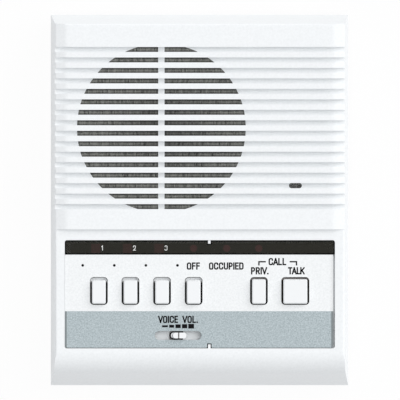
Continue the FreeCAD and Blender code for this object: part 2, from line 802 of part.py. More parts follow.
def rear_base():
    base = new_body("rear_base")
    outer = ("casing_width - 2 * base_inset", "casing_length - 2 * base_inset")
    inner = [f"{size} - 2 * base_wall" for size in outer]
    sizes = ("casing_width", "casing_length")
    lip = [f"{size} - 2 * side_wall - 2 * lip_clearance" for size in sizes]
    lip_inner = [f"{size} - 2 * base_lip" for size in lip]
    pad(base, "tray", [rectangle("0", "0", *outer, "base_wall")], "foot_height", "part_z")
    pocket(base, "inside", [rectangle("0", "0", *inner)], "floor_z", "part_z + overrun")
    rim = [rectangle("0", "0", *lip), rectangle("0", "0", *lip_inner)]
    pad(base, "lip", rim, "floor_z", "part_z + lip_height")
    posts = [circle(x, y, "cover_boss_radius") for x, y in COVER_SCREWS]
    pad(base, "posts", posts, "foot_height", "part_z")
    heads = [circle(x, y, "screw_head_radius + hole_clearance") for x, y in COVER_SCREWS]
    pocket(base, "head_holes", heads, "foot_height - overrun", "floor_z + head_room")
    holes = [circle(x, y, "cover_screw_radius + hole_clearance") for x, y in COVER_SCREWS]
    pocket(base, "screw_holes", holes, "foot_height - overrun", "part_z + overrun")
    wall_holes = [
        circle(x, y, "wall_hole_radius")
        for x in ("0", "-wall_hole_width / 2", "wall_hole_width / 2")
        for y in ("-wall_hole_length / 2", "wall_hole_length / 2")
    ]
    pocket(base, "wall_holes", wall_holes, "foot_height - overrun", "floor_z + overrun")
    cable_hole = rectangle(
        "cable_hole_x", "cable_hole_y", "cable_hole_width", "cable_hole_length", "base_floor"
    )
    pocket(base, "cable_hole", [cable_hole], "foot_height - overrun", "floor_z + overrun")
    vents = [
        obround(x, f"({row} - (vent_count - 1) / 2) * vent_spacing", "vent_length", "vent_width")
        for x in ("-vent_side", "vent_side")
        for row in range(int(SIZES["vent_count"]))
    ]
    pocket(base, "vents", vents, "foot_height - overrun", "floor_z + overrun")
    recess = rectangle(
        "0",
        "half_length - plate_recess_end",
        "plate_recess_width",
        "plate_recess_length",
        "base_floor",
    )
    recess_depth = "foot_height + plate_recess_depth"
    pocket(base, "plate_recess", [recess], "foot_height - overrun", recess_depth)


def rubber_feet():
    feet = new_body("rubber_feet")
    places = [
        (f"{a}(half_width - foot_inset)", f"{b}(half_length - foot_inset)")
        for a in ("-", "")
        for b in ("-", "")
    ]
    discs = [circle(x, y, "foot_radius") for x, y in places]
    pad(feet, "discs", discs, "0", "foot_height")


def screws(label, places, radius, head_low, tip):
    """A group of cross-head screws; the head's seat is its upper side."""
    group = new_body(label)
    seat = f"{head_low} + screw_head_height"
    pad(group, "heads", [circle(x, y, "screw_head_radius") for x, y in places], head_low, seat)
    pad(group, "shanks", [circle(x, y, radius) for x, y in places], seat, tip)
    for name, across in (("first", True), ("second", False)):
        size = ("screw_recess_length", "screw_recess_width")
        size = size if across else size[::-1]
        bars = [rectangle(x, y, *size) for x, y in places]
        pocket(group, name, bars, f"{head_low} - overrun", f"{head_low} + screw_recess_depth")


# Panel
def control_panel():
    panel = new_body("control_panel")
    low, high = "panel_under_z", "low_z - panel_sink"
    outline = polygon(
        ("panel_left", "panel_end", "panel_corner"),
        ("panel_right", "panel_end", "panel_corner"),
        ("panel_right", "window_end"),
        ("panel_left", "window_end"),
    )
    pad(panel, "plate", [outline], low, high)
    size = ["key_hole_length", "key_corner + key_gap"]
    holes = [
        rectangle(x, "key_y", f"{width} + 2 * key_gap", *size) for x, width in KEYS.values()
    ]
    slot = obround("volume_x", "volume_y", "volume_slot_length", "volume_slot_width")
    ends = (f"{low} - overrun", f"{high} + overrun")
    pocket(panel, "key_holes", holes, *ends)
    pocket(panel, "volume_slot", [slot], *ends)
    half = "(notch_width / 2 + notch_gap)"
    inner_edge = "panel_end + notch_depth + notch_gap"
    notch = span(f"notch_x - {half}", "panel_end - overrun", f"notch_x + {half}", inner_edge)
    pocket(panel, "notch", [notch], *ends)


def indicator_window():
    window = new_body("indicator_window")
    low, high = "panel_under_z", "low_z - panel_sink"
    outline = polygon(
        ("window_gap - recess_side", "window_end + window_gap"),
        ("recess_side - window_gap", "window_end + window_gap"),
        ("recess_side - window_gap", "panel_top", "panel_corner"),
        ("window_gap - recess_side", "panel_top", "panel_corner"),
    )
    pad(window, "plate", [outline], low, high)
    half = "(notch_width / 2 + notch_gap)"
    inner_edge = "panel_top - notch_depth - notch_gap"
    notch = span(f"notch_x - {half}", inner_edge, f"notch_x + {half}", "panel_top + overrun")
    pocket(window, "notch", [notch], f"{low} - overrun", f"{high} + overrun")


# Keys, springs and switches
def key_set(name, x, width):
    """A keycap, its stem, and the spring that lifts them.

    Each latching key has a low ledge that fills the upper end of its opening.
    """
    cap = new_body(f"{name}_key")
    latching = name in LATCHING_KEYS
    skirt_top = "key_top_z - key_bevel_height"
    cap_length = "key_length" if latching else "(key_length + key_high_gap - push_high_gap)"
    cap_y, cap_end = f"cap_low + {cap_length} / 2", f"cap_low + {cap_length}"
    skirt = rectangle(x, cap_y, width, cap_length, "key_corner")
    pad(cap, "skirt", [skirt], "key_bottom_z", skirt_top)
    if latching:
        half = f"({width} / 2 + key_gap - ledge_gap)"
        ledge_end = f"{cap_end} + key_high_gap - ledge_gap"
        corner = "key_corner + key_gap - ledge_gap"
        ledge = polygon(
            (f"{x} - {half}", f"{cap_end} - ledge_wing"),
            (f"{x} + {half}", f"{cap_end} - ledge_wing"),
            (f"{x} + {half}", ledge_end, corner),
            (f"{x} - {half}", ledge_end, corner),
        )
        pad(cap, "ledge", [ledge], "key_bottom_z", "low_z - panel_sink - ledge_drop")
    inset = [f"{size} - 2 * key_bevel" for size in (width, cap_length)]
    face = rectangle(x, cap_y, *inset, "key_corner - key_bevel / 2")
    rim = rectangle(x, cap_y, width, cap_length, "key_corner")
    loft(cap, "bevel", rim, skirt_top, face, "key_top_z")
    stem = new_body(f"{name}_stem")
    square = rectangle(x, "key_y", "stem_width", "stem_width")
    pad(stem, "shaft", [square], "stem_foot_z", "key_bottom_z")
    spring = new_body(f"{name}_spring")
    rings = [
        circle(x, "key_y", "spring_radius"),
        circle(x, "key_y", "spring_radius - spring_wire"),
    ]
    pad(spring, "turns", rings, "spring_foot_z", "stem_foot_z")


def switch_wells(block, places):
    side = "stem_width + 2 * stem_clearance"
    wells = [rectangle(x, "key_y", side, side) for x in places]
    pocket(block, "wells", wells, "spring_foot_z", "switch_top_z + overrun")


def push_switches():
    """The two switches that don't latch, under the privacy and talk keys."""
    blocks = new_body("push_switches")
    places = [KEYS["privacy"][0], KEYS["talk"][0]]
    squares = [
        rectangle(x, "key_y", "2 * switch_end", "2 * switch_half_width") for x in places
    ]
    pad(blocks, "housings", squares, "board_z", "switch_top_z")
    switch_wells(blocks, places)


def selector_switch():
    """The row of four latching switches, with a channel for the latch bar beside the wells."""
    block = new_body("selector_switch")
    row = span(
        "first_key_x - switch_end",
        "key_y - switch_half_width",
        "off_x + switch_end",
        "key_y + switch_half_width",
    )
    pad(block, "housing", [row], "board_z", "switch_top_z")
    switch_wells(block, [KEYS[name][0] for name in LATCHING_KEYS])
    channel = span(
        "first_key_x - switch_end - overrun",
        "key_y + latch_offset - latch_thickness / 2 - latch_clearance",
        "off_x + switch_end + overrun",
        "key_y + latch_offset + latch_thickness / 2 + latch_clearance",
    )
    low = "switch_top_z - latch_height - 2 * latch_clearance"
    pocket(block, "channel", [channel], low, "switch_top_z + overrun")
    leaf = new_body("latch_spring")
    wall = span(
        "off_x + switch_end",
        "key_y",
        "off_x + switch_end + leaf_thickness",
        "key_y + switch_half_width",
    )
    pad(leaf, "foot", [wall], "board_z", f"{low} - latch_clearance")
    blade = span(
        "off_x + switch_end + latch_travel",
        "key_y + latch_offset - latch_thickness",
        "off_x + switch_end + latch_travel + leaf_thickness",
        "key_y + latch_offset + latch_thickness",
    )
    shelf = span(
        "off_x + switch_end",
        "key_y + latch_offset - latch_thickness",
        "off_x + switch_end + latch_travel + leaf_thickness",
        "key_y + latch_offset + latch_thickness",
    )
    shelf_top = f"{low} - latch_clearance"
    pad(leaf, "shelf", [shelf], f"{shelf_top} - leaf_thickness", shelf_top)
    pad(leaf, "blade", [blade], shelf_top, "switch_top_z")


def latch_bar():
    """The strip that holds a pressed key down until another is pressed."""
    bar = new_body("latch_bar")
    low = "switch_top_z - latch_height - latch_clearance"
    strip = span(
        "first_key_x - switch_end + latch_travel",
        "key_y + latch_offset - latch_thickness / 2",
        "off_x + switch_end - latch_clearance",
        "key_y + latch_offset + latch_thickness / 2",
    )
    pad(bar, "strip", [strip], low, "switch_top_z - latch_clearance")


# Volume control
def volume_control():
    """The slide control, its lever, and the knob with the strip that closes the slot below it."""
    body = new_body("volume_control")
    box = rectangle("volume_x", "volume_y", "volume_body_length", "volume_body_width")
    top = "board_z + volume_body_height"
    pad(body, "case", [box], "board_z", top)
    slot = rectangle(
        "volume_x",
        "volume_y",
        "2 * volume_travel + lever_width + 2 * lever_clearance + lever_thickness",
        "lever_thickness + 2 * lever_clearance",
    )
    pocket(body, "slot", [slot], f"{top} - lever_depth - lever_clearance", f"{top} + overrun")
    lever = new_body("volume_lever")
    blade = rectangle("volume_x", "volume_y", "lever_width", "lever_thickness")
    pad(lever, "blade", [blade], f"{top} - lever_depth", "shutter_z - shutter_thickness")
    knob = new_body("volume_knob")
    top = "low_z + knob_proud"
    across = "volume_slot_width + 2 * shutter_lap"
    shutter = rectangle("volume_x", "volume_y", "2 * shutter_half", across)
    pad(knob, "shutter", [shutter], "shutter_z - shutter_thickness", "shutter_z")
    moat = span(
        "volume_x - collar_length / 2 - collar_moat",
        "volume_y - collar_width / 2 - collar_moat",
        "volume_x",
        "volume_y + collar_width / 2 + collar_moat",
        "collar_corner",
    )
    moat_low = "shutter_z - collar_moat_depth"
    pocket(knob, "collar_moat", [moat], moat_low, "shutter_z + overrun")
    collar_top = "low_z - panel_sink - collar_sink"
    size = ("collar_length", "collar_width", "collar_corner")
    collar = rectangle("volume_x", "volume_y", *size)
    pad(knob, "collar", [collar], moat_low, collar_top)
    cap_x = "volume_x + knob_shift"
    size = ("knob_length", "knob_width", "knob_corner")
    cap = [rectangle(cap_x, "volume_y", *size)]
    wide = [f"{name} + 2 * knob_moat" for name in size[:2]] + ["knob_corner + knob_moat"]
    moat = [rectangle(cap_x, "volume_y", *wide)]
    pocket(knob, "moat", moat + cap, f"{collar_top} - knob_moat_depth", f"{collar_top} + overrun")
    pad(knob, "cap", cap, collar_top, top)
    line_size = ("knob_line_width", "knob_width + overrun")
    line = rectangle("volume_x + knob_line_shift", "volume_y", *line_size)
    pocket(knob, "line", [line], f"{top} - knob_line_depth", f"{top} + overrun")


# Indicator lamps
STATION_LAMPS = [f"first_key_x - lamp_shift + {i} * key_spacing" for i in range(3)]
STATUS_LAMPS = ["off_x", "occupied_x", "privacy_x"]


def lamps():
    top = "low_inner_z - holder_gap"
    holder = new_body("lamp_holder")
    block = span(
        "first_key_x - lamp_shift - lamp_width / 2 - holder_end",
        "lamp_y - holder_width / 2",
        "privacy_x + lamp_width / 2 + holder_end",
        "lamp_y + holder_width / 2",
    )
    pad(holder, "block", [block], "board_z", top)
    side = "lamp_width + 2 * lamp_clearance"
    wells = [rectangle(x, "lamp_y", side, side) for x in STATION_LAMPS]
    wells += [circle(x, "lamp_y", "lamp_radius + lamp_clearance") for x in STATUS_LAMPS]
    pocket(holder, "wells", wells, "board_z - overrun", f"{top} + overrun")
    low = f"{top} - lamp_height"
    square = [rectangle(x, "lamp_y", "lamp_width", "lamp_width") for x in STATION_LAMPS]
    round_ones = [circle(x, "lamp_y", "lamp_radius") for x in STATUS_LAMPS]
    for label, shapes, places, pitch in (
        ("station_lamps", square, STATION_LAMPS, "lamp_pin_spacing"),
        ("status_lamps", round_ones, STATUS_LAMPS, "lamp_radius"),
    ):
        lamp = new_body(label)
        pad(lamp, "bulbs", shapes, low, top)
        pins = [
            rectangle(f"{x} {side} {pitch} / 2", "lamp_y", "lamp_pin", "lamp_pin")
            for x in places
            for side in ("-", "+")
        ]
        pad(lamp, "pins", pins, "board_z", low)


# Main board
def main_board():
    board = new_body("main_board")
    low_edge = "board_edge_y - board_length"
    plate = span("-board_width / 2", low_edge, "board_width / 2", "board_edge_y")
    pad(board, "plate", [plate], "board_under_z", "board_z")
    holes = [circle(x, y, "board_screw_radius + hole_clearance") for x, y in BOARD_SCREWS]
    pocket(board, "holes", holes, "board_under_z - overrun", "board_z + overrun")


def transformer():
    core = new_body("transformer_core")
    low = "board_under_z - transformer_height"
    box = rectangle("transformer_x", "transformer_y", "transformer_width", "transformer_length")
    pad(core, "stack", [box], low, "board_under_z")
    gap = "(transformer_height - coil_height) / 2"
    windows = [
        rectangle(
            f"transformer_x {side} transformer_width / 4",
            f"{low} + transformer_height / 2",
            "transformer_width / 4",
            "coil_height",
        )
        for side in ("-", "+")
    ]
    length = ("transformer_y - transformer_length", "transformer_y + transformer_length")
    pocket(core, "windows", windows, *length, "XZ_Plane")
    coil = new_body("transformer_winding")
    level = (f"{low} + {gap}", f"board_under_z - {gap}")
    reach = "transformer_length / 2 + coil_swell"
    sides = [
        rectangle(
            f"transformer_x {side} transformer_width / 4",
            "transformer_y",
            "transformer_width / 4",
            f"2 * ({reach})",
        )
        for side in ("-", "+")
    ]
    pad(coil, "sides", sides, *level)
    ends = [
        rectangle(
            "transformer_x",
            f"transformer_y {side} (transformer_length / 2 + coil_swell / 2)",
            "transformer_width / 2",
            "coil_swell",
        )
        for side in ("-", "+")
    ]
    pad(coil, "ends", ends, *level)


def capacitors():
    cans = new_body("capacitors")
    count = int(SIZES["capacitor_count"])
    places = [f"capacitor_x + {i} * capacitor_spacing" for i in range(count)]
    shapes = [circle(x, "capacitor_y", "capacitor_radius") for x in places]
    pad(cans, "cans", shapes, "board_under_z - capacitor_height", "board_under_z")


def amplifier():
    chip = new_body("amplifier_chip")
    box = rectangle("amplifier_x", "amplifier_y", "amplifier_length", "amplifier_width")
    pad(chip, "package", [box], "board_under_z - amplifier_height", "board_under_z")
    sink = new_body("heat_sink")
    low = "board_under_z - amplifier_height - sink_thickness"
    pad(sink, "plate", [box], low, "board_under_z - amplifier_height")
    fins = [
        rectangle(
            "amplifier_x",
            f"amplifier_y {side} (amplifier_width - sink_thickness) / 2",
            "amplifier_length",
            "sink_thickness",
        )
        for side in ("-", "+")
    ]
    pad(sink, "fins", fins, "board_under_z - sink_height", low)


def resistors():
    group = new_body("resistors")
    count = int(SIZES["resistor_count"])
    places = [f"resistor_x + {i} * resistor_spacing" for i in range(count)]
    axis_z = "board_under_z - resistor_radius"
    bodies = [circle(x, axis_z, "resistor_radius") for x in places]
    ends = ("resistor_y - resistor_length / 2", "resistor_y + resistor_length / 2")
    pad(group, "bodies", bodies, *ends, "XZ_Plane")


# Loudspeaker
def disc_with_hole(label, outer, inner, low, high):
    body = new_body(label)
    rings = [circle("speaker_x", "speaker_y", outer)]
    if inner:
        rings.append(circle("speaker_x", "speaker_y", inner))
    pad(body, "ring", rings, low, high)
    return body


def speaker():
    axis = ("speaker_x", "speaker_y")
    disc_with_hole("speaker_cloth", "speaker_radius - cloth_gap", None, "cloth_z", "inner_z")

    frame = new_body("speaker_frame")
    profile = polygon(
        ("gap_radius", "basket_z"),
        ("basket_base_radius", "basket_z"),
        ("flange_inner + basket_wall", "flange_back_z"),
        ("speaker_radius", "flange_back_z"),
        ("speaker_radius", "flange_z"),
        ("flange_inner", "flange_z"),
        ("flange_inner", "flange_back_z"),
        ("basket_base_radius - basket_wall", "basket_z + basket_wall"),
        ("gap_radius", "basket_z + basket_wall"),
    )
    turned(frame, "shell", [profile], *axis)
    low, high = "basket_z + 3 * basket_wall", "flange_back_z - 3 * basket_wall"
    for plane, (across, along) in (("XZ_Plane", axis), ("YZ_Plane", axis[::-1])):
        half = "basket_window / 2"
        window = span(f"{across} - {half}", low, f"{across} + {half}", high)
        ends = [f"{along} {side} speaker_radius" for side in ("-", "+")]
        pocket(frame, plane[:2].lower() + "_windows", [window], *ends, plane)

    cone = new_body("speaker_cone")
    neck_z = "flange_z - cone_depth"
    edge = "(flange_inner - cone_edge)"
    profile = polygon(
        ("neck_radius", neck_z),
        (edge, "flange_z - cone_edge"),
        ("flange_inner - surround_thickness", "flange_z"),
        ("speaker_radius - surround_gap", "flange_z"),
        ("speaker_radius - surround_gap", "cloth_z"),
        ("flange_inner - 2 * surround_thickness", "cloth_z"),
        (f"{edge} - cone_thickness", "flange_z - cone_edge + cone_thickness"),
        ("neck_radius", f"{neck_z} + cone_thickness"),
    )
    turned(cone, "paper", [profile], *axis)

    cap = new_body("dust_cap")
    foot_z = f"({neck_z} + cone_thickness)"
    run = f"(dust_cap_radius - neck_radius) / ({edge} - neck_radius)"
    rim_z = f"({foot_z} + {run} * (cone_depth - cone_edge))"
    profile = polygon(
        ("0", f"{rim_z} + dust_cap_height - cone_thickness"),
        ("dust_cap_radius - 2 * cone_thickness", f"{rim_z} + cone_thickness"),
        ("dust_cap_radius", f"{rim_z} + cone_thickness"),
        ("dust_cap_radius * dome_radius_share", f"{rim_z} + dust_cap_height * dome_height_share"),
        ("0", f"{rim_z} + dust_cap_height"),
    )
    turned(cap, "dome", [profile], *axis)

    plate_top = "basket_z"
    plate_low = "basket_z - plate_thickness"
    magnet_low = f"{plate_low} - magnet_height"
    spider_z = "basket_z + basket_wall"
    spider_top = f"{spider_z} + spider_thickness"
    spider_radius = "basket_base_radius - basket_wall - spider_gap"
    disc_with_hole("speaker_spider", spider_radius, "neck_radius", spider_z, spider_top)
    disc_with_hole("top_plate", "plate_radius", "gap_radius", plate_low, plate_top)
    disc_with_hole("speaker_magnet", "magnet_radius", "magnet_bore", magnet_low, plate_low)
    pole_low = f"{magnet_low} - plate_thickness"
    pole = disc_with_hole("pole_piece", "plate_radius", None, pole_low, magnet_low)
    pad(pole, "pole", [circle(*axis, "coil_radius - pole_gap")], magnet_low, plate_top)
    disc_with_hole("voice_coil", "neck_radius", "coil_radius", f"{plate_top} - coil_reach", neck_z)

    clamps = new_body("speaker_clamps")
    boxes = [rectangle(x, y, "clamp_length", "clamp_width") for x, y, *_ in SPEAKER_SCREWS]
    low, high = "flange_back_z - clamp_thickness", "flange_back_z"
    pad(clamps, "plates", boxes, low, high)
    holes = [circle(x, y, "board_screw_radius + hole_clearance") for x, y, *_ in SPEAKER_SCREWS]
    pocket(clamps, "holes", holes, f"{low} - overrun", f"{high} + overrun")

    tags = new_body("speaker_tags")
    tag_y = "speaker_y - flange_inner - tag_length / 2 - basket_wall"
    box = rectangle("speaker_x", tag_y, "tag_width", "tag_length")
    tag_z = "flange_back_z - flange_thickness"
    pad(tags, "strip", [box], tag_z, "flange_back_z")
    speaker_leads(tag_y, tag_z)


def speaker_leads(tag_y, tag_z):
    """Two wires that drop from the tags, step over the board's edge and land on it."""
    leads = new_body("speaker_leads")
    landing = "board_edge_y - lead_landing"
    for name, side in (("left", "-"), ("right", "+")):
        x = f"speaker_x {side} lead_spacing / 2"
        route = polygon(
            (tag_y, tag_z),
            (tag_y, "board_z + lead_height", "lead_bend"),
            (landing, "board_z + lead_height", "lead_bend"),
            (landing, "board_z"),
            closed=False,
        )
        wire = leads.newObject("PartDesign::AdditivePipe", f"speaker_leads_{name}")
        end = circle(x, tag_y, "lead_radius")
        wire.Profile = draw_sketch(leads, name + "_end", "XY_Plane", tag_z, [end])
        wire.Spine = (draw_sketch(leads, name + "_route", "YZ_Plane", x, [route]), [])
        leads.Tip = wire


# Microphone
def microphone():
    axis = ("mic_x", "mic_y")
    mesh = new_body("mic_mesh")
    front = "inner_z - mesh_thickness"
    pad(mesh, "disc", [circle(*axis, "capsule_radius")], front, "inner_z")
    boot = new_body("mic_boot")
    pad(boot, "cup", [circle(*axis, "boot_radius")], "inner_z - boot_height", front)
    bore = [circle(*axis, "capsule_radius")]
    pocket(boot, "bore", bore, "inner_z - boot_height - overrun", f"{front} - boot_front")
    sound_hole = [circle(*axis, "capsule_radius - boot_wall")]
    pocket(boot, "sound_hole", sound_hole, f"{front} - boot_front - overrun", "inner_z")
    capsule = new_body("mic_capsule")
    top = f"{front} - boot_front"
    pad(capsule, "can", bore, f"{top} - capsule_height", top)


# Line terminals
def terminals():
    block = new_body("terminal_block")
    box = rectangle("terminal_x", "terminal_y", "terminal_length", "terminal_width")
    top = "floor_z + terminal_height"
    pad(block, "block", [box], "floor_z", top)
    pitch = "terminal_length / terminal_count"
    places = [
        f"terminal_x - terminal_length / 2 + {pitch} / 2 + {i} * {pitch}"
        for i in range(int(SIZES["terminal_count"]))
    ]
    cells = [
        rectangle(x, "terminal_y", f"{pitch} - terminal_barrier", "terminal_width + overrun")
        for x in places
    ]
    low = f"{top} - terminal_screw_depth - screw_head_height"
    pocket(block, "cells", cells, low, f"{top} + overrun")
    heads = new_body("terminal_screws")
    discs = [circle(x, "terminal_y", "terminal_screw_radius") for x in places]
    pad(heads, "heads", discs, low, f"{low} + screw_head_height")
    slots = [
        rectangle(x, "terminal_y", "2 * terminal_screw_radius + overrun", "screw_recess_width")
        for x in places
    ]
    seat = f"{low} + screw_head_height"
    pocket(heads, "slots", slots, f"{seat} - screw_recess_depth", f"{seat} + overrun")


def build():
    fill_sheet()
    front_cover()
    rear_base()
    rubber_feet()
    head_low = "floor_z + head_room - screw_head_height"
    tip = "part_z + cover_screw_bite"
    screws("cover_screws", COVER_SCREWS, "cover_screw_radius", head_low, tip)
    control_panel()
    indicator_window()
    for name, (x, width) in KEYS.items():
        key_set(name, x, width)
    selector_switch()
    latch_bar()
    push_switches()
    volume_control()
    lamps()
    main_board()
    head_low = "board_under_z - screw_head_height"
    tip = "board_z + board_screw_bite"
    screws("board_screws", BOARD_SCREWS, "board_screw_radius", head_low, tip)
    transformer()
    capacitors()
    amplifier()
    resistors()
    speaker()
    places = [(x, y) for x, y, *_ in SPEAKER_SCREWS]
    head_low = "flange_back_z - clamp_thickness - screw_head_height"
    tip = "flange_back_z + speaker_screw_bite"
    screws("speaker_screws", places, "board_screw_radius", head_low, tip)
    microphone()
    terminals()
    doc.recompute()


def check():
    """Every feature is sound, every cut removes something and every sub-part has a shape."""
    for thing in doc.Objects:
        if {"Invalid", "Error"} & set(thing.State):
            raise RuntimeError(f"{thing.Label} failed: {thing.State}")
        if thing.TypeId == "Sketcher::SketchObject" and not thing.FullyConstrained:
            raise RuntimeError(f"{thing.Label} isn't fully constrained")
        if thing.TypeId == "PartDesign::Pocket":
            if thing.Shape.Volume >= thing.BaseFeature.Shape.Volume:
                raise RuntimeError(f"{thing.Label} cuts nothing")
    for body in exported:
        if body.Shape.isNull() or not body.Shape.isValid():
            raise RuntimeError(f"{body.Label} has no valid shape")


def export():
    os.makedirs("parts", exist_ok=True)
    for body in exported:
        body.Shape.exportStep(f"parts/{body.Label}.step")
        print(body.Label, len(body.Shape.Solids), round(body.Shape.Volume, 1))


build()
check()
export()
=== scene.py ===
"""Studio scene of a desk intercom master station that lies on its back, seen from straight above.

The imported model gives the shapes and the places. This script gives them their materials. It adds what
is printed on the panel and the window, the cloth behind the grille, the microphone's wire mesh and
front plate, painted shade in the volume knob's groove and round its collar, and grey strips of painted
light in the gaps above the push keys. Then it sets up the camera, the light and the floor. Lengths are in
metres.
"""
import json
import math

import bpy
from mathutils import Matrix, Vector


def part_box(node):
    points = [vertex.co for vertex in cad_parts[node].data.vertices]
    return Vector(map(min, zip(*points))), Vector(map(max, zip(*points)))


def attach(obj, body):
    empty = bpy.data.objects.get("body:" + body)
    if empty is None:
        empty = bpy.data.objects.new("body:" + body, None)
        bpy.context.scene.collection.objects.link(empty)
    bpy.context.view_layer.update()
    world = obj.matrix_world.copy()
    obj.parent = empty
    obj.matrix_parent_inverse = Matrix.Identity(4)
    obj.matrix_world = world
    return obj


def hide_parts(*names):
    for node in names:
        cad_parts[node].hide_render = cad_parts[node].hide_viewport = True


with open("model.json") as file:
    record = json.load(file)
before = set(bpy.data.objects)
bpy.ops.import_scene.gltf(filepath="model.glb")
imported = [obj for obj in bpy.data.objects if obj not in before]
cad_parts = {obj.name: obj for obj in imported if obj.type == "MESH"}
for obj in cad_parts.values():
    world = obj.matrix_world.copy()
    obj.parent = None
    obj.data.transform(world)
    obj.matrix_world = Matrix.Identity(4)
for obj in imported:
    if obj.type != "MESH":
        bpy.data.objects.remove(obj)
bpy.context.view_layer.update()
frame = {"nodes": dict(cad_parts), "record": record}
nodes = frame["nodes"]

MM = 0.001

# Camera: above, a hair to the left of upright, and far enough away for a flat view. The sensor's width
# is in millimetres, as a camera's is
PIXEL = 0.527 * MM
IMAGE_PIXELS = 400
CAMERA_DISTANCE = 8.5
CAMERA_TILT = math.radians(-0.3)
CAMERA_SHIFT_PIXELS = 0.38
CAMERA_LEVEL = 20 * MM
CLIP_SHARE = 1.5
SENSOR = 36.0

# Light: an even sky and one soft lamp from the upper right
SKY_LIGHT = 0.665
KEY_LIGHT = 1.43
KEY_ANGLE = math.radians(60)
KEY_FROM = Vector((0.75, 0.6, 1.0))

# Floor: its width, and the share of pure white in what the eye sees of it
FLOOR_SIZE = 12.0
FLOOR_GLOW_SHARE = 0.95

# The loudspeaker cloth is lighter with the distance from a point beside its middle, and has painted shade
# that darkens it from left to right
TONE_CENTRE_SHIFT = 2.0 * MM
TONE_START = 4.0 * MM
TONE_STOP = 32.0 * MM
RIM_TONE_SHARES = (0.4, 1.1)
SIDE_PAINTED_SHADE_SHARES = (1.06, 0.82)

# Painted shade in each slot of the grille: the cloth is lighter along the slot's middle and darker
# towards the slot's edges, where the bars shade it
SLOT_PITCH = 5.506 * MM
SLOT_PAINTED_SHADE_SHIFT = 0.04 * MM
SLOT_PAINTED_SHADE_REACH = 0.95 * MM
SLOT_PAINTED_SHADE_SHARES = (1.7, 0.2)

# The cloth's threads, its place below the top of its space, its sag and its thickness
WARP_PITCH = 0.62 * MM
WEFT_PITCH = 0.45 * MM
CLOTH_DROP = 0.02 * MM
CLOTH_SAG = 0.16 * MM
CLOTH_THICKNESS = 0.12 * MM
CLOTH_RINGS = 24
CLOTH_SIDES = 96

# The microphone's woven wire
WIRE_PITCH = 0.55 * MM
WIRE_RADIUS = 0.07 * MM

# Printing on the panel and the window, and painted shade along the panel's edges
WINDOW_BORDER = 0.6 * MM
# The dark lines along the band's sides are partly print and partly painted shade of the gap beside the
# panel
BAND_LINE = 1.0 * MM
BAND_SHARE = 0.392
# Painted shadow: over this width the panel darkens towards its right edge, where the recess wall shades
# it
PAINTED_EDGE_SHADOW_WIDTH = 2 * MM
INK_HEIGHT = 0.03 * MM
CAPITAL = 3.8 * MM
STROKE = 0.72 * MM
LETTER_BEND = 0.8 * MM
BEND_STEPS = 4
MITRE_LIMIT = 2.5

# Words over the keys: the key or keys that a word is placed from, its place to the right of their
# middle and above their upper edge, and its width
KEY_WORDS = (
    ("off_word", "OFF", ("off",), -0.15 * MM, 4.15 * MM, 6.9 * MM),
    ("occupied_word", "OCCUPIED", ("off",), 17.15 * MM, 4.15 * MM, 18.2 * MM),
    ("call_word", "CALL", ("privacy", "talk"), 0.15 * MM, 6.45 * MM, 9.3 * MM),
    ("privacy_word", "PRIV.", ("privacy",), 0.45 * MM, 1.65 * MM, 9.2 * MM),
    ("talk_word", "TALK", ("talk",), 0.55 * MM, 1.65 * MM, 8.8 * MM),
)

# Words over the volume knob: place to the right of the knob's middle, and width
VOLUME_WORDS = (
    ("voice_word", "VOICE", -5.3 * MM, 10.5 * MM),
    ("volume_word", "VOL.", 6.3 * MM, 8.2 * MM),
)
VOLUME_WORD_DROP = 6.2 * MM

# The bars that grow towards the loud end: place to the right of the knob's middle, width and height
VOLUME_BARS = (
    (-6.9 * MM, 3.1 * MM, 1.0 * MM),
    (-3.4 * MM, 2.6 * MM, 1.5 * MM),
    (0.0 * MM, 2.75 * MM, 1.95 * MM),
    (3.4 * MM, 2.75 * MM, 2.15 * MM),
    (6.85 * MM, 3.05 * MM, 2.45 * MM),
)
VOLUME_BAR_DROP = 7.9 * MM

# The dots between the keys, from the middle and the upper edge of the key to their right
DOT_SHIFT = 8.5 * MM
DOT_RISE = 6.4 * MM
DOT_RADIUS = 0.7 * MM

# The bracket on both sides of CALL
BRACKET_RISE = 8.3 * MM
BRACKET_FOOT = 1.6 * MM
BRACKET_ARM = 3.25 * MM
BRACKET_LEFT = 0.35 * MM
BRACKET_RIGHT = 1.0 * MM

# The numbers on the window: place to the right of the key's middle, and width
STATION_NUMBERS = (("1", 1.65 * MM, 0.85 * MM), ("2", 2.1 * MM, 1.45 * MM), ("3", 2.1 * MM, 1.45 * MM))
NUMBER_HEIGHT = 2.6 * MM
NUMBER_DROP = 1.1 * MM
NUMBER_STROKE = 0.32 * MM

# The collar under the volume knob, and a black strip round it, which also stands on the knob's slide. The
# strip is painted shade: a dark piece in the gap round the collar, where the knob's shadow falls
COLLAR_LENGTH = 7.46 * MM
COLLAR_WIDTH = 3.0 * MM
COLLAR_FLOOR = 0.3 * MM
SHADE_STRIP_WIDTH = 0.7 * MM
SHADE_STRIP_HEIGHT = 1.0 * MM
SHADE_STRIP_SLACK = 0.15 * MM
SHADE_STRIP_OPEN = 2.3 * MM

# Painted shade on the floor of the groove across the knob: its place, and its depth below the knob's top
GROOVE_SHADE_SHIFT = 0.3 * MM
GROOVE_SHADE_WIDTH = 0.66 * MM
GROOVE_SHADE_DROP = 1.1 * MM

# The grey strip above each push key, painted light that stands in for the light reaching into the gap:
# its depth below the panel, and its outline
GAP_LIGHT_STRIP_DROP = 2.5 * MM
GAP_LIGHT_STRIP_REACH = 0.75 * MM
GAP_LIGHT_STRIP_WING = 0.5 * MM
GAP_LIGHT_STRIP_LENGTH = 0.9 * MM
GAP_LIGHT_STRIP_BEND = 1.5 * MM

# The capsule's front plate
FACE_RIM = 0.15 * MM
FACE_HEIGHT = 0.35 * MM
FACE_SIDES = 48

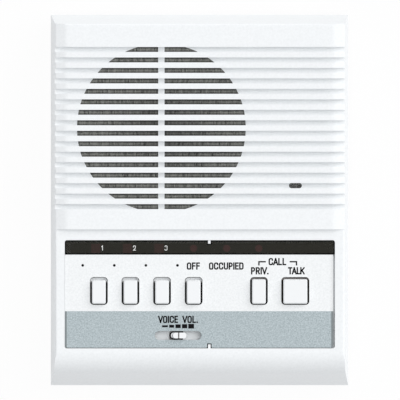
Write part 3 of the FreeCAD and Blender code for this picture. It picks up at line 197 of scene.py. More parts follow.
# Places on the panel, from the frame
panel_low, panel_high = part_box("control_panel")
window_low, window_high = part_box("indicator_window")
BAND_TOP = panel_low.y + BAND_SHARE * (panel_high.y - panel_low.y)


def middle(node):
    """The middle of a node's box."""
    low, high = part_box(node)
    return (low.x + high.x) / 2, (low.y + high.y) / 2


# Materials
class Finish:
    """A material on the Principled shader, with short calls for the textures that feed it."""

    # The radians that the wave texture turns through over a length of 1, at a scale of 1
    WAVE_TURN = 20

    def __init__(self, name, colour, roughness, **values):
        self.material = bpy.data.materials.new(name)
        self.material.use_nodes = True
        self.material.diffuse_color = (*colour, 1)
        self.nodes = self.material.node_tree.nodes
        self.shader = self.nodes["Principled BSDF"]
        self.place = self.node("ShaderNodeTexCoord").outputs["Object"]
        self.set("Base Color", (*colour, 1))
        self.set("Roughness", roughness)
        for socket, number in values.items():
            self.set(socket.replace("_", " ").title().replace("Ior", "IOR"), number)

    def set(self, socket, number):
        """A number or colour that is the same all over the surface."""
        self.shader.inputs[socket].default_value = number

    def node(self, kind, inputs=None, **settings):
        """A new node, fed by other nodes' sockets or by fixed values."""
        made = self.nodes.new(kind)
        for name, setting in settings.items():
            setattr(made, name, setting)
        for name, source in (inputs or {}).items():
            if isinstance(source, bpy.types.NodeSocket):
                self.material.node_tree.links.new(source, made.inputs[name])
            else:
                made.inputs[name].default_value = source
        return made

    def feed(self, socket, source):
        """Lets a texture drive one of the shader's sockets."""
        self.material.node_tree.links.new(source, self.shader.inputs[socket])

    def stretched(self, x=1.0, y=1.0, z=1.0):
        """The place on the object, drawn out along its axes."""
        return self.node("ShaderNodeMapping", {"Vector": self.place, "Scale": (x, y, z)}).outputs[0]

    def axis(self, letter):
        """The place on the object along one axis."""
        return self.node("ShaderNodeSeparateXYZ", {"Vector": self.place}).outputs[letter]

    def noise(self, size, detail=3.0, place=None):
        """Random shades whose patches are about as wide as size."""
        inputs = {"Vector": place or self.place, "Scale": 1 / size, "Detail": detail}
        return self.node("ShaderNodeTexNoise", inputs).outputs["Fac"]

    def cells(self, size):
        """Random shades in small closed cells."""
        inputs = {"Vector": self.place, "Scale": 1 / size}
        return self.node("ShaderNodeTexVoronoi", inputs).outputs["Distance"]

    def bands(self, pitch, axis, wobble=0.0):
        """Rows of soft lines across one axis, one in each pitch."""
        scale = 2 * math.pi / self.WAVE_TURN / pitch
        inputs = {"Vector": self.place, "Scale": scale, "Distortion": wobble}
        settings = {"wave_type": "BANDS", "bands_direction": axis}
        return self.node("ShaderNodeTexWave", inputs, **settings).outputs["Fac"]

    def math(self, work, first, second):
        """One sum, product or comparison."""
        inputs = {0: first, 1: second}
        return self.node("ShaderNodeMath", inputs, operation=work).outputs[0]

    def ramp(self, source, low, high, start=0.0, stop=1.0):
        """A texture's shades from start to stop, spread over low to high."""
        inputs = {"Value": source, 1: start, 2: stop, 3: low, 4: high}
        return self.node("ShaderNodeMapRange", inputs).outputs[0]

    def mix(self, factor, first, second):
        """A blend of two colours, each a fixed one or another node's."""
        inputs = {"Factor": factor}
        made = self.node("ShaderNodeMix", inputs, data_type="RGBA")
        for socket, colour in ((made.inputs[6], first), (made.inputs[7], second)):
            if isinstance(colour, bpy.types.NodeSocket):
                self.material.node_tree.links.new(colour, socket)
            else:
                socket.default_value = (*colour, 1)
        return made.outputs[2]

    def tint(self, factor, first, second):
        """Colours the surface between two colours."""
        self.feed("Base Color", self.mix(factor, first, second))

    def gloss(self, factor, low, high):
        """Varies the roughness."""
        self.feed("Roughness", self.ramp(factor, low, high))

    def bump(self, height, depth, strength):
        """Roughens the surface with a texture's shades."""
        inputs = {"Height": height, "Distance": depth, "Strength": strength}
        made = self.node("ShaderNodeBump", inputs)
        self.feed("Normal", made.outputs[0])


def shaded(colour, factor):
    """A lighter or darker form of a colour."""
    return tuple(channel * factor for channel in colour)


def record_colour(slot):
    """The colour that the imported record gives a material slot."""
    materials = {row["slot"]: row for row in frame["record"]["materials"]}
    return tuple(materials[slot]["base_color"])


def white_casing(slot):
    """Moulded in a spark-eroded tool: a fine even grain with hardly any sheen."""
    colour = record_colour(slot)
    finish = Finish(slot, colour, 0.5, specular_ior_level=0.35)
    grain_size, mottle_size, relief = 0.35 * MM, 1.2 * MM, 0.03 * MM
    grain = finish.noise(grain_size, 4)
    mottled = finish.ramp(finish.noise(mottle_size, 5), 0, 1, 0.3, 0.7)
    finish.tint(mottled, shaded(colour, 0.97), shaded(colour, 1.025))
    finish.gloss(grain, 0.42, 0.6)
    finish.bump(grain, relief, 0.5)
    return finish


def white_keycap(slot):
    """Smoother than the casing, polished a little by fingers."""
    colour = record_colour(slot)
    finish = Finish(slot, colour, 0.3)
    patch_size, wear_size, grain_size, relief = 6 * MM, 3 * MM, 0.5 * MM, 0.01 * MM
    finish.tint(finish.noise(patch_size), shaded(colour, 0.985), shaded(colour, 1.01))
    finish.gloss(finish.noise(wear_size), 0.24, 0.4)
    finish.bump(finish.noise(grain_size), relief, 0.4)
    return finish


def printed_panel(slot):
    """A white sheet with a speckled blue-grey band along its lower edge, dark lines along the band's
    sides that are partly print and partly painted shade, and a painted shadow along its right edge.
    """
    finish = Finish(slot, record_colour(slot), 0.45, specular_ior_level=0.35)
    grain_size, speckle_size, relief = 0.9 * MM, 0.7 * MM, 0.02 * MM
    grain = finish.noise(grain_size, 5)
    white = finish.mix(finish.ramp(grain, 0, 1, 0.3, 0.7), (0.87, 0.885, 0.89), (0.97, 0.98, 0.985))
    speckle = finish.ramp(finish.noise(speckle_size, 6), 0.0, 1.0, 0.3, 0.7)
    band = finish.mix(speckle, (0.33, 0.39, 0.41), (0.57, 0.64, 0.665))
    across = finish.axis("X")
    # Dark lines along the band's sides: partly print, partly painted shade of the gap beside the panel
    left_line = finish.math("LESS_THAN", across, panel_low.x + BAND_LINE)
    right_line = finish.math("GREATER_THAN", across, panel_high.x - BAND_LINE)
    band = finish.mix(finish.math("MAXIMUM", left_line, right_line), band, (0.24, 0.27, 0.28))
    low = finish.math("LESS_THAN", finish.axis("Y"), BAND_TOP)
    # Painted shadow of the recess wall, darkening the panel towards its right edge
    edge = finish.ramp(across, 0, 0.15, panel_high.x - PAINTED_EDGE_SHADOW_WIDTH, panel_high.x)
    colour = finish.mix(low, white, band)
    finish.feed("Base Color", finish.mix(edge, colour, (0.1, 0.1, 0.1)))
    finish.bump(grain, relief, 0.4)
    return finish


def smoked_window(slot):
    """Dark, glossy and clear enough to show the lamps behind it, with a black border."""
    finish = Finish(slot, record_colour(slot), 0.08, specular_ior_level=0.06)
    smear_size, wave_size, relief = 8 * MM, 12 * MM, 0.02 * MM
    inside = 1
    for axis, low, high in (("X", window_low.x, window_high.x), ("Y", window_low.y, window_high.y)):
        place = finish.axis(axis)
        for work, edge in (("GREATER_THAN", low + WINDOW_BORDER), ("LESS_THAN", high - WINDOW_BORDER)):
            inside = finish.math("MULTIPLY", inside, finish.math(work, place, edge))
    finish.tint(inside, (0.002, 0.002, 0.002), (0.034, 0.033, 0.027))
    finish.feed("Alpha", finish.ramp(inside, 1.0, 0.7))
    finish.gloss(finish.noise(smear_size), 0.05, 0.14)
    finish.bump(finish.noise(wave_size, 2), relief, 0.3)
    return finish


def black_rubber(slot):
    """Dull rubber with a trace of dust."""
    finish = Finish(slot, record_colour(slot), 0.85)
    dust_size, grain_size, relief = 1.5 * MM, 0.4 * MM, 0.05 * MM
    tone = finish.noise(dust_size, 6)
    finish.tint(tone, (0.02, 0.02, 0.02), (0.055, 0.053, 0.05))
    finish.bump(finish.noise(grain_size), relief, 0.6)
    return finish


def gap_light_grey(slot):
    """Grey with random lighter and darker patches: painted light for the gaps above the push keys."""
    finish = Finish(slot, (0.3, 0.28, 0.27), 0.7)
    dust_size, relief = 0.8 * MM, 0.03 * MM
    tone = finish.noise(dust_size, 5)
    finish.tint(tone, (0.24, 0.22, 0.215), (0.36, 0.34, 0.33))
    finish.bump(tone, relief, 0.5)
    return finish


def moulded(slot):
    """Plain technical plastic with a fine grain."""
    colour = record_colour(slot)
    finish = Finish(slot, colour, 0.5)
    grain_size, patch_size, relief = 0.5 * MM, 8 * MM, 0.03 * MM
    grain = finish.noise(grain_size, 4)
    finish.tint(finish.noise(patch_size), shaded(colour, 0.8), shaded(colour, 1.2))
    finish.gloss(grain, 0.4, 0.6)
    finish.bump(grain, relief, 0.5)
    return finish


def red_lens(slot, glow=0.16):
    """Translucent red with the small facets of a diffusing lens, and a painted glow: the lamps are off,
    and the emission only lets them show through the smoked window.
    """
    colour = (0.85, 0.2, 0.25)
    # Painted glow on lamps that are off, so that they show through the smoked window
    finish = Finish(slot, colour, 0.25, emission_strength=glow)
    finish.set("Emission Color", (*colour, 1))
    facet_size, relief = 0.7 * MM, 0.15 * MM
    facets = finish.cells(facet_size)
    finish.tint(facets, colour, shaded(colour, 0.6))
    finish.bump(facets, relief, 0.6)
    return finish


def laminate(slot):
    """Board of pressed layers, with its glass weave showing."""
    colour = record_colour(slot)
    finish = Finish(slot, colour, 0.4)
    weave_pitch, relief = 0.7 * MM, 0.02 * MM
    weave = finish.math("MULTIPLY", finish.bands(weave_pitch, "X", 1), finish.bands(weave_pitch, "Y", 1))
    finish.tint(weave, shaded(colour, 0.85), shaded(colour, 1.1))
    finish.bump(weave, relief, 0.4)
    return finish


def plated(slot):
    """Metal with fine scratches and slightly uneven plating."""
    colour = record_colour(slot)
    finish = Finish(slot, colour, 0.35, metallic=1.0)
    scratch_size, patch_size, relief = 0.25 * MM, 5 * MM, 0.01 * MM
    scratches = finish.noise(scratch_size, 4, finish.stretched(y=0.08))
    finish.tint(finish.noise(patch_size, 5), shaded(colour, 0.8), shaded(colour, 1.15))
    finish.gloss(scratches, 0.22, 0.5)
    finish.bump(scratches, relief, 0.4)
    return finish


def dark_wire(slot):
    """Blackened wire, bright on the high spots of its bump: partly wear, partly painted glint."""
    finish = Finish(slot, (0.025, 0.024, 0.022), 0.35, metallic=0.5)
    wear_size, relief = 0.7 * MM, 0.02 * MM
    wear_and_glint = finish.noise(wear_size, 3)
    # Bright patches: partly wear, partly painted glint
    finish.tint(finish.ramp(wear_and_glint, 0, 1, 0.4, 0.65), (0.06, 0.06, 0.055), (0.6, 0.6, 0.57))
    finish.bump(wear_and_glint, relief, 0.4)
    return finish


def spring_steel(slot):
    """Bright wire: the turns lie close together."""
    colour = record_colour(slot)
    finish = Finish(slot, colour, 0.3, metallic=1.0)
    turn_pitch, stain_size, relief = 0.9 * MM, 1 * MM, 0.3 * MM
    turns = finish.bands(turn_pitch, "Z")
    # Painted shade: the bands darken the wire between its turns
    finish.tint(turns, shaded(colour, 0.35), shaded(colour, 1.1))
    finish.gloss(finish.noise(stain_size), 0.2, 0.4)
    finish.bump(turns, relief, 0.8)
    return finish


def laminated_iron(slot):
    """A stack of varnished sheets, seen from its edges."""
    finish = Finish(slot, record_colour(slot), 0.5, metallic=0.3)
    sheet_pitch, patch_size, relief = 0.5 * MM, 4 * MM, 0.1 * MM
    sheets = finish.bands(sheet_pitch, "Y")
    finish.tint(finish.noise(patch_size), (0.14, 0.13, 0.12), (0.24, 0.23, 0.22))
    finish.bump(sheets, relief, 0.6)
    return finish


def copper_winding(slot):
    """Enamelled wire in close turns."""
    colour = record_colour(slot)
    finish = Finish(slot, colour, 0.3, metallic=0.8)
    turn_pitch, relief = 0.3 * MM, 0.12 * MM
    turns = finish.bands(turn_pitch, "Z", 0.4)
    # Painted shade: the bands darken the wire between its turns
    finish.tint(turns, shaded(colour, 0.5), shaded(colour, 1.1))
    finish.bump(turns, relief, 0.7)
    return finish


def capacitor_sleeve(slot):
    """Shrunk film, a little wrinkled."""
    colour = record_colour(slot)
    finish = Finish(slot, colour, 0.3, coat_weight=0.3)
    wrinkle_size, relief = 2 * MM, 0.05 * MM
    wrinkles = finish.noise(wrinkle_size, 3, finish.stretched(z=0.3))
    finish.tint(wrinkles, shaded(colour, 0.8), shaded(colour, 1.2))
    finish.bump(wrinkles, relief, 0.4)
    return finish


def resistor_body(slot):
    """Lacquered ceramic with coloured rings."""
    colour = record_colour(slot)
    finish = Finish(slot, colour, 0.35)
    ring_pitch, grain_size, relief = 1.6 * MM, 0.6 * MM, 0.03 * MM
    rings = finish.ramp(finish.bands(ring_pitch, "Y"), 0, 1, 0.75, 0.8)
    finish.tint(rings, colour, (0.3, 0.06, 0.03))
    finish.bump(finish.noise(grain_size), relief, 0.5)
    return finish


def cone_paper(slot):
    """Pressed paper pulp."""
    finish = Finish(slot, record_colour(slot), 0.9)
    pulp_size, relief = 0.8 * MM, 0.1 * MM
    pulp = finish.noise(pulp_size, 8)
    finish.tint(pulp, (0.06, 0.058, 0.055), (0.15, 0.145, 0.135))
    finish.bump(pulp, relief, 0.7)
    return finish


def magnet(slot):
    """Sintered ferrite: dull, dark and slightly chipped."""
    finish = Finish(slot, record_colour(slot), 0.7)
    grain_size, relief = 0.8 * MM, 0.05 * MM
    grain = finish.cells(grain_size)
    finish.tint(grain, (0.07, 0.07, 0.072), (0.17, 0.17, 0.175))
    finish.bump(grain, relief, 0.5)
    return finish


def dark_cloth(slot):
    """Loudspeaker cloth: uneven upright threads, crossed by finer ones.

    It is lighter towards the rim, and painted shade darkens it from left to right and towards the edges
    of each slot.
    """
    finish = Finish(slot, record_colour(slot), 0.95, sheen_weight=0.2)
    slub_size, relief = 1.0 * MM, 0.12 * MM
    warp = finish.bands(WARP_PITCH, "X", 0.8)
    weft = finish.bands(WEFT_PITCH, "Y", 0.4)
    uneven = finish.noise(slub_size, 4, finish.stretched(y=0.35))
    threads = finish.math("MULTIPLY", warp, finish.ramp(weft, 0.55, 1.0))
    bright = finish.math("MULTIPLY", threads, finish.ramp(uneven, 0.0, 1.8, 0.25, 0.75))
    low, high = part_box("speaker_cloth")
    x, y = middle("speaker_cloth")
    centre = (x + TONE_CENTRE_SHIFT, y, high.z)
    away = finish.node("ShaderNodeVectorMath", {0: finish.place, 1: centre}, operation="DISTANCE")
    # Lighter with the distance from a point beside the cloth's middle
    tone = finish.ramp(away.outputs["Value"], *RIM_TONE_SHARES, TONE_START, TONE_STOP)
    # Painted shade: darker from the cloth's left to its right
    side_painted_shade = finish.ramp(finish.axis("X"), *SIDE_PAINTED_SHADE_SHARES, low.x, high.x)
    tone = finish.math("MULTIPLY", tone, side_painted_shade)
    # Painted shade: darker towards the edges of each slot, where the bars shade it, and lighter along its
    # middle
    slot_y = y + SLOT_PITCH / 2 - SLOT_PAINTED_SHADE_SHIFT
    from_slot = finish.math("PINGPONG", finish.math("SUBTRACT", finish.axis("Y"), slot_y), SLOT_PITCH / 2)
    slot_painted_shade = finish.ramp(from_slot, *SLOT_PAINTED_SHADE_SHARES, 0, SLOT_PAINTED_SHADE_REACH)
    tone = finish.math("MULTIPLY", tone, slot_painted_shade)
    finish.tint(finish.math("MULTIPLY", bright, tone), (0.045, 0.045, 0.042), (0.5, 0.5, 0.46))
    finish.bump(threads, relief, 0.8)
    return finish


def ink(name, colour):
    """Screen-printed ink, slightly uneven."""
    finish = Finish(name, colour, 0.5, specular_ior_level=0.05)
    grain_size, relief = 0.5 * MM, 0.01 * MM
    uneven = finish.noise(grain_size, 4)
    finish.tint(uneven, shaded(colour, 0.8), shaded(colour, 1.2))
    finish.bump(uneven, relief, 0.5)
    return finish.material


SLOT_FINISHES = {
    "white_casing": white_casing,
    "white_keycap": white_keycap,
    "printed_panel": printed_panel,
    "smoked_window": smoked_window,
    "black_rubber": black_rubber,
    "black_plastic": moulded,
    "switch_plastic": moulded,
    "red_lens": red_lens,
    "board": laminate,
    "steel": plated,
    "spring_steel": spring_steel,
    "zinc_plate": plated,
    "laminated_iron": laminated_iron,
    "copper_winding": copper_winding,
    "capacitor_sleeve": capacitor_sleeve,
    "aluminium": plated,
    "resistor_body": resistor_body,
    "dark_cloth": dark_cloth,
    "cone_paper": cone_paper,
    "magnet": magnet,
    "tag_board": laminate,
    "lead_insulation": moulded,
    "brass": plated,
}


def dress_nodes():
    """Gives every CAD node the material of its slot, and returns the materials."""
    finishes = {slot: make(slot).material for slot, make in SLOT_FINISHES.items()}
    for row in frame["record"]["subparts"]:
        mesh = nodes[row["node"]].data
        mesh.materials.clear()
        mesh.materials.append(finishes[row["material_slot"]])
    # The status lamps are off too, and get a stronger painted glow
    nodes["status_lamps"].data.materials[0] = red_lens("status_lens", glow=0.3).material
    return finishes


# Pieces
def new_piece(name, mesh, material, body="casing"):
    """An object with one material, riding on a body."""
    piece = bpy.data.objects.new(name, mesh)
    bpy.context.scene.collection.objects.link(piece)
    piece.data.materials.append(material)
    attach(piece, body)
    return piece


def prism(name, outlines, low, height, material, body="casing"):
    """Flat shapes with a small height: each outline is a list of (x, y)."""
    verts, faces = [], []
    for outline in outlines:
        start, count = len(verts), len(outline)
        verts += [(x, y, z) for z in (low, low + height) for x, y in outline]
        faces.append(list(range(start, start + count))[::-1])
        faces.append(list(range(start + count, start + 2 * count)))
        for i in range(count):
            j = (i + 1) % count
            faces.append([start + i, start + j, start + count + j, start + count + i])
    mesh = bpy.data.meshes.new(name)
    mesh.from_pydata(verts, [], faces)
    piece = new_piece(name, mesh, material, body)
    return piece


def block(x0, y0, x1, y1):
    """The corners of a rectangle."""
    return [(x0, y0), (x1, y0), (x1, y1), (x0, y1)]


def dot(x, y, radius, sides=24):
    """The corners of a disc."""
    turns = [2 * math.pi * i / sides for i in range(sides)]
    return [(x + radius * math.cos(turn), y + radius * math.sin(turn)) for turn in turns]


# Letters and numbers as strokes in a cell that is 1 wide and 1 high: (x, y) is a sharp turn and
# (x, y, 1) a bend. The first entry is the cell's share of the width of an O
BAR_SHARE = 0.52
LETTER_SHARES = {
    "A": (1.2, [((0, 0), (0.5, 1)), ((0.5, 1), (1, 0)), ((0.2, 0.3), (0.8, 0.3))]),
    "C": (1.0, [((1, 0.75), (1, 1, 1), (0, 1, 1), (0, 0, 1), (1, 0, 1), (1, 0.25))]),
    "D": (1.0, [((0, 0), (0, 1), (1, 1, 1), (1, 0, 1), (0, 0))]),
    "E": (0.75, [((1, 1), (0, 1), (0, 0), (1, 0)), ((0, BAR_SHARE), (0.9, BAR_SHARE))]),
    "F": (0.75, [((1, 1), (0, 1), (0, 0)), ((0, BAR_SHARE), (0.9, BAR_SHARE))]),
    "I": (0.0, [((0, 0), (0, 1))]),
    "K": (1.05, [((0, 0), (0, 1)), ((1, 1), (0, 0.35)), ((0.35, 0.58), (1, 0))]),
    "L": (0.75, [((0, 1), (0, 0), (1, 0))]),
    "O": (1.0, [((0.5, 0), (0, 0, 1), (0, 1, 1), (1, 1, 1), (1, 0, 1), (0.5, 0))]),
    "P": (0.85, [((0, 0), (0, 1), (1, 1, 1), (1, 0.45, 1), (0, 0.45))]),
    "R": (0.9, [((0, 0), (0, 1), (1, 1, 1), (1, 0.48, 1), (0, 0.48)), ((0.5, 0.48), (1, 0))]),
    "T": (1.0, [((0, 1), (1, 1)), ((0.5, 1), (0.5, 0))]),
    "U": (1.0, [((0, 1), (0, 0, 1), (1, 0, 1), (1, 1))]),
    "V": (1.2, [((0, 1), (0.5, 0)), ((0.5, 0), (1, 1))]),
    ".": (0.0, [((0, 0), (0, 0.02))]),
    "1": (0.5, [((0, 0.78), (1, 1), (1, 0))]),
    "2": (1.0, [((0, 0.72), (0, 1, 1), (1, 1, 1), (1, 0.5, 1), (0, 0), (1, 0))]),
    "3": (1.0, [((0, 0.8), (0, 1, 1), (1, 1, 1), (1, BAR_SHARE, 1), (0.4, BAR_SHARE)),
                ((0.4, BAR_SHARE), (1, BAR_SHARE, 1), (1, 0, 1), (0, 0, 1), (0, 0.2))]),
}

# The gap between letters, as a share of the width of an O, and what each open-sided letter saves of it
OPEN_SIDED = "AVTK"
LETTER_GAP_SHARE = 0.6
SAVED_GAP_SHARE = 0.17


def bent(path, bend):
    """The points of a path with its bends rounded off."""
    points = []
    for i, (x, y, *soft) in enumerate(path):
        here = Vector((x, y))
        if not soft:
            points.append(here)
            continue
        sides = [Vector(path[j][:2]) - here for j in (i - 1, (i + 1) % len(path))]
        first, last = (here + side.normalized() * min(bend, side.length / 2) for side in sides)
        for step in range(BEND_STEPS + 1):
            share = step / BEND_STEPS
            points.append(first.lerp(here, share).lerp(here.lerp(last, share), share))
    return points


def ribbon(verts, faces, points, width, low, height):
    """Adds a flat band along points; one that ends where it starts is closed."""
    touching = width / 100
    closed = (points[0] - points[-1]).length < touching
    points = [p for i, p in enumerate(points) if not i or (p - points[i - 1]).length > touching]
    if closed:
        points.pop()
    else:
        points[0] = points[0] + (points[0] - points[1]).normalized() * width / 2
        points[-1] = points[-1] + (points[-1] - points[-2]).normalized() * width / 2
    count, start = len(points), len(verts)
    for i, point in enumerate(points):
        before = (point - points[i - 1]) if closed or i else (points[1] - point)
        after = (points[(i + 1) % count] - point) if closed or i + 1 < count else before
        before, after = before.normalized(), after.normalized()
        along = (before + after).normalized()
        stretch = min(1 / max(along.dot(after), 1 / MITRE_LIMIT), MITRE_LIMIT)
        side = Vector((-along.y, along.x)) * width / 2 * stretch
        for z in (low, low + height):
            verts += [(*(point + side), z), (*(point - side), z)]
    for i in range(count if closed else count - 1):
        a, b = start + 4 * i, start + 4 * ((i + 1) % count)
        faces += [(a + 2, a + 3, b + 3, b + 2), (b, b + 1, a + 1, a)]
        faces += [(a, a + 2, b + 2, b), (b + 1, b + 3, a + 3, a + 1)]
    if not closed:
        last = start + 4 * (count - 1)
        faces += [(start, start + 1, start + 3, start + 2), (last + 1, last, last + 2, last + 3)]


def drawn(name, paths, width, bend, low, height, material, slot, body="casing"):
    """A flat piece made of bands along paths."""
    verts, faces = [], []
    for path in paths:
        ribbon(verts, faces, bent(path, bend), width, low, height)
    mesh = bpy.data.meshes.new(name)
    mesh.from_pydata(verts, [], faces)
    piece = new_piece(name, mesh, material, body)
    return piece


def word(name, text, x, low_y, width, height, level, material, slot, stroke=STROKE):
    """Printed letters of a given width and height, centred on x and standing on low_y."""
    places, end = [], 0.0
    for before, letter in zip(" " + text, text):
        if before != " ":
            saved = SAVED_GAP_SHARE * ((before in OPEN_SIDED) + (letter in OPEN_SIDED))
            end += LETTER_GAP_SHARE - saved
        places.append(end)
        end += LETTER_SHARES[letter][0]
    scale = (width - stroke) / end
    left, low, tall = x - (width - stroke) / 2, low_y + stroke / 2, height - stroke
    paths = []
    for place, letter in zip(places, text):
        cell, strokes = LETTER_SHARES[letter]
        for path in strokes:
            paths.append([(left + (place + cell * p) * scale, low + tall * q, *r) for p, q, *r in path])
    return drawn(name, paths, stroke, LETTER_BEND, level, INK_HEIGHT, material, slot)


def print_panel():
    """What the keys do, in words and marks on the panel."""
    black = ink("black_ink", (0.006, 0.006, 0.007))
    key_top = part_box("off_key")[1].y
    volume_x = middle("volume_knob")[0]
    for name, text, keys, shift, rise, width in KEY_WORDS:
        key_x = sum(middle(f"{key}_key")[0] for key in keys) / len(keys)
        print_word(name, text, key_x + shift, key_top + rise, width, black)
    for name, text, shift, width in VOLUME_WORDS:
        print_word(name, text, volume_x + shift, BAND_TOP - VOLUME_WORD_DROP, width, black)
    station_keys = [middle(f"{name}_key")[0] for name in ("station_1", "station_2", "station_3", "off")]
    dots = [dot(x - DOT_SHIFT, key_top + DOT_RISE, DOT_RADIUS) for x in station_keys]
    prism("key_dots", dots, panel_high.z, INK_HEIGHT, black)
    print_bracket(black, key_top)
    print_growing_bars(black, volume_x, BAND_TOP - VOLUME_BAR_DROP)


def print_word(name, text, x, low_y, width, material):
    """A word in capitals on the panel."""
    word(name, text, x, low_y, width, CAPITAL, panel_high.z, material, "printed_panel")


def print_bracket(material, key_top):
    """The line that joins the privacy and talk keys' words under CALL."""
    line_y = key_top + BRACKET_RISE
    foot_y = line_y - BRACKET_FOOT
    first_x = middle("privacy_key")[0] - BRACKET_LEFT
    last_x = middle("talk_key")[0] + BRACKET_RIGHT
    paths = []
    for x, side in ((first_x, 1), (last_x, -1)):
        corner = x + side * STROKE / 2
        paths.append([(corner, foot_y), (corner, line_y), (corner + side * BRACKET_ARM, line_y)])
    drawn("call_bracket", paths, STROKE, LETTER_BEND, panel_high.z, INK_HEIGHT, material, "printed_panel")


def print_growing_bars(material, volume_x, middle_y):
    """Five bars that grow towards the loud end."""
    shapes = []
    for shift, width, height in VOLUME_BARS:
        left, right = volume_x + shift - width / 2, volume_x + shift + width / 2
        shapes.append(block(left, middle_y - height / 2, right, middle_y + height / 2))
    prism("volume_bars", shapes, panel_high.z, INK_HEIGHT, material)


def print_window():
    """The numbers of the three stations, beside their lamps."""
    white = ink("white_ink", (0.92, 0.92, 0.9))
    low_y = middle("station_lamps")[1] - NUMBER_DROP
    for number, shift, width in STATION_NUMBERS:
        place = (middle(f"station_{number}_key")[0] + shift, low_y, width, NUMBER_HEIGHT, window_high.z)
        word(f"number_{number}", number, *place, white, "smoked_window", NUMBER_STROKE)


def speaker_cloth(material):
    """The cloth behind the grille, stretched over its opening and slack by a hair in the middle."""
    low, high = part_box("speaker_cloth")
    x, y = middle("speaker_cloth")
    radius = (high.x - low.x) / 2
    top = high.z - CLOTH_DROP
    verts = [(x, y, top - CLOTH_SAG)]
    for ring in range(1, CLOTH_RINGS + 1):
        share = ring / CLOTH_RINGS
        height = top - CLOTH_SAG * (1 - share ** 2)
        verts += [(*corner, height) for corner in dot(x, y, radius * share, CLOTH_SIDES)]
    faces = [(0, 1 + i, 1 + (i + 1) % CLOTH_SIDES) for i in range(CLOTH_SIDES)]
    for ring in range(CLOTH_RINGS - 1):
        inner, outer = 1 + ring * CLOTH_SIDES, 1 + (ring + 1) * CLOTH_SIDES
        for i in range(CLOTH_SIDES):
            j = (i + 1) % CLOTH_SIDES
            faces.append((inner + i, outer + i, outer + j, inner + j))
    mesh = bpy.data.meshes.new("grille_cloth")
    mesh.from_pydata(verts, [], faces)
    for face in mesh.polygons:
        face.use_smooth = True
    cloth = new_piece("grille_cloth", mesh, material)
    thickness = cloth.modifiers.new("thickness", "SOLIDIFY")
    thickness.thickness = CLOTH_THICKNESS
    thickness.offset = -1
    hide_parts("speaker_cloth")


def microphone_mesh(material):
    """Woven wire over the microphone: each wire goes over and under the ones that cross it."""
    low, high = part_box("mic_mesh")
    x, y = middle("mic_mesh")
    radius = (high.x - low.x) / 2
    pitch, wire = WIRE_PITCH, WIRE_RADIUS
    level = (low.z + high.z) / 2
    curve = bpy.data.curves.new("mic_wire_mesh", "CURVE")
    curve.dimensions = "3D"
    curve.bevel_depth = wire
    curve.bevel_resolution = 1
    curve.resolution_u = 3
    count = int(radius / pitch)
    for along in (0, 1):
        for row in range(-count, count + 1):
            across = row * pitch
            reach = math.sqrt(max(radius ** 2 - across ** 2, 0)) - wire
            steps = int(reach / pitch)
            if steps < 1:
                continue
            spline = curve.splines.new("NURBS")
            places = [step * pitch for step in range(-steps, steps + 1)]
            spline.points.add(len(places) - 1)
            for point, place in zip(spline.points, places):
                lift = wire * (1 if (round(place / pitch) + row + along) % 2 else -1)
                offset = (across, place) if along else (place, across)
                point.co = (x + offset[0], y + offset[1], level + lift, 1)
            spline.order_u = 3
            spline.use_endpoint_u = True
    mesh = new_piece("mic_wire_mesh", curve, material)
    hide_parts("mic_mesh")


def push_key_gap_light_strips(material):
    """Painted light: a grey strip on the upper side of each push key, which fills most of the gap above
    it and stands in for the light that reaches into it.
    """
    level = panel_high.z - GAP_LIGHT_STRIP_DROP
    for name in ("privacy", "talk"):
        low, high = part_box(f"{name}_key")
        left, right = low.x - GAP_LIGHT_STRIP_REACH, high.x + GAP_LIGHT_STRIP_REACH
        near, far = high.y - GAP_LIGHT_STRIP_WING, high.y + GAP_LIGHT_STRIP_LENGTH
        outline = bent([(left, near), (right, near), (right, far, 1), (left, far, 1)], GAP_LIGHT_STRIP_BEND)
        height = level - low.z
        body = f"{name}_button"
        prism(f"{name}_key_gap_light_strip", [outline], low.z, height, material, body)


def knob_groove_shade(material):
    """Painted shade: a dark line on the floor of the groove across the knob."""
    knob_x, y = middle("volume_knob")
    x = knob_x + GROOVE_SHADE_SHIFT
    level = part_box("volume_knob")[1].z - GROOVE_SHADE_DROP
    outline = block(x - GROOVE_SHADE_WIDTH / 2, y - COLLAR_WIDTH / 2, x + GROOVE_SHADE_WIDTH / 2, y + COLLAR_WIDTH / 2)
    prism("knob_groove_shade", [outline], level, INK_HEIGHT, material, "volume_slider")


def microphone_face(material):
    """The black front plate of the microphone capsule, under its wire mesh."""
    low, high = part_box("mic_capsule")
    outline = dot(*middle("mic_capsule"), (high.x - low.x) / 2 - FACE_RIM, FACE_SIDES)
    plate = prism("mic_face", [outline], high.z, FACE_HEIGHT, material)
    edge = plate.modifiers.new("edge", "BEVEL")
    edge.width = FACE_RIM
    edge.segments = 2


def knob_shade_strip(material):
    """Painted shade: a black strip on three sides of the knob's collar, in the gap where the knob's
    shadow falls, open towards the loud end.
    """
    x, y = middle("volume_knob")
    reach_x = (COLLAR_LENGTH + SHADE_STRIP_WIDTH) / 2 + SHADE_STRIP_SLACK
    reach_y = (COLLAR_WIDTH + SHADE_STRIP_WIDTH) / 2
    open_x = x + SHADE_STRIP_OPEN
    corners = [(x - reach_x, y + reach_y, 1), (x - reach_x, y - reach_y, 1)]
    path = [(open_x, y + reach_y), *corners, (open_x, y - reach_y)]
    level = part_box("volume_knob")[0].z + COLLAR_FLOOR
    place = (SHADE_STRIP_WIDTH, reach_y, level, SHADE_STRIP_HEIGHT)
    drawn("knob_shade_strip", [path], *place, material, "black_rubber", "volume_slider")


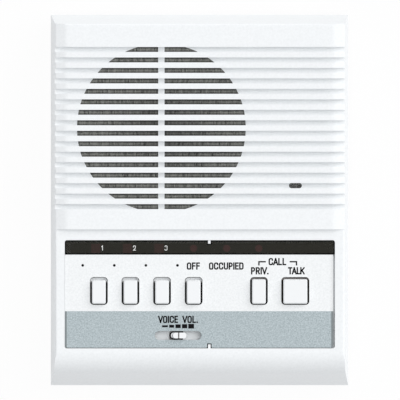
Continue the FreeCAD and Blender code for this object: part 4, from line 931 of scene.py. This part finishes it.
# Floor, light and camera
def seen_directly(tree):
    """1 where the camera, a reflection or a view through glass meets the surface, and 0 for light."""
    path = tree.nodes.new("ShaderNodeLightPath")
    found = path.outputs["Is Camera Ray"]
    for name in ("Is Glossy Ray", "Is Transmission Ray"):
        higher = tree.nodes.new("ShaderNodeMath")
        higher.operation = "MAXIMUM"
        tree.links.new(found, higher.inputs[0])
        tree.links.new(path.outputs[name], higher.inputs[1])
        found = higher.outputs[0]
    return found


def lay_floor():
    """A pale floor that stays white to the eye and keeps the object's shadow."""
    half = FLOOR_SIZE / 2
    corners = [(x, y, 0) for x, y in block(-half, -half, half, half)]
    mesh = bpy.data.meshes.new("floor")
    mesh.from_pydata(corners, [], [(0, 1, 2, 3)])
    floor = bpy.data.objects.new("floor", mesh)
    bpy.context.scene.collection.objects.link(floor)
    material = bpy.data.materials.new("floor")
    material.use_nodes = True
    tree = material.node_tree
    tree.nodes.clear()
    matt = tree.nodes.new("ShaderNodeBsdfDiffuse")
    matt.inputs["Color"].default_value = (0.85, 0.85, 0.85, 1)
    glow = tree.nodes.new("ShaderNodeEmission")
    share = tree.nodes.new("ShaderNodeMath")
    share.operation = "MULTIPLY"
    share.inputs[1].default_value = FLOOR_GLOW_SHARE
    mix = tree.nodes.new("ShaderNodeMixShader")
    out = tree.nodes.new("ShaderNodeOutputMaterial")
    tree.links.new(seen_directly(tree), share.inputs[0])
    tree.links.new(share.outputs[0], mix.inputs["Fac"])
    tree.links.new(matt.outputs[0], mix.inputs[1])
    tree.links.new(glow.outputs[0], mix.inputs[2])
    tree.links.new(mix.outputs[0], out.inputs["Surface"])
    mesh.materials.append(material)


def light_room():
    """An even sky that the eye sees as white, and one soft key lamp."""
    scene = bpy.context.scene
    scene.view_settings.view_transform = "Standard"
    world = bpy.data.worlds.new("studio")
    scene.world = world
    world.use_nodes = True
    tree = world.node_tree
    tree.nodes.clear()
    sky = tree.nodes.new("ShaderNodeBackground")
    sky.inputs["Color"].default_value = (0.97, 0.985, 1.0, 1)
    sky.inputs["Strength"].default_value = SKY_LIGHT
    white = tree.nodes.new("ShaderNodeBackground")
    white.inputs["Color"].default_value = (1, 1, 1, 1)
    mix = tree.nodes.new("ShaderNodeMixShader")
    out = tree.nodes.new("ShaderNodeOutputWorld")
    tree.links.new(seen_directly(tree), mix.inputs["Fac"])
    tree.links.new(sky.outputs[0], mix.inputs[1])
    tree.links.new(white.outputs[0], mix.inputs[2])
    tree.links.new(mix.outputs[0], out.inputs["Surface"])
    lamp = bpy.data.lights.new("key", "SUN")
    lamp.energy = KEY_LIGHT
    lamp.angle = KEY_ANGLE
    key = bpy.data.objects.new("key", lamp)
    key.rotation_mode = "QUATERNION"
    key.rotation_quaternion = KEY_FROM.to_track_quat("Z", "Y")
    scene.collection.objects.link(key)


def place_camera():
    """A long lens straight above the object, framed as the photograph is."""
    data = bpy.data.cameras.new("camera")
    data.sensor_width = SENSOR
    data.lens = SENSOR * CAMERA_DISTANCE / (IMAGE_PIXELS * PIXEL)
    data.clip_end = CLIP_SHARE * CAMERA_DISTANCE
    camera = bpy.data.objects.new("camera", data)
    back = Vector((math.sin(CAMERA_TILT), 0, math.cos(CAMERA_TILT)))
    aim = Vector((CAMERA_SHIFT_PIXELS * PIXEL, 0, CAMERA_LEVEL))
    camera.location = aim + back * CAMERA_DISTANCE
    camera.rotation_euler = (0, CAMERA_TILT, 0)
    bpy.context.scene.collection.objects.link(camera)
    bpy.context.scene.camera = camera


place_camera()
light_room()
lay_floor()
finishes = dress_nodes()
speaker_cloth(finishes["dark_cloth"])
microphone_mesh(dark_wire("dark_wire").material)
microphone_face(finishes["black_plastic"])
# Painted shade round the knob's collar, in the black rubber finish
knob_shade_strip(finishes["black_rubber"])
# The painted shade in the knob's groove uses the ink finish
knob_groove_shade(ink("groove_shade_grey", (0.3, 0.29, 0.28)))
# Grey strips of painted light in the gaps above the push keys
push_key_gap_light_strips(gap_light_grey("gap_light_grey").material)
print_panel()
print_window()
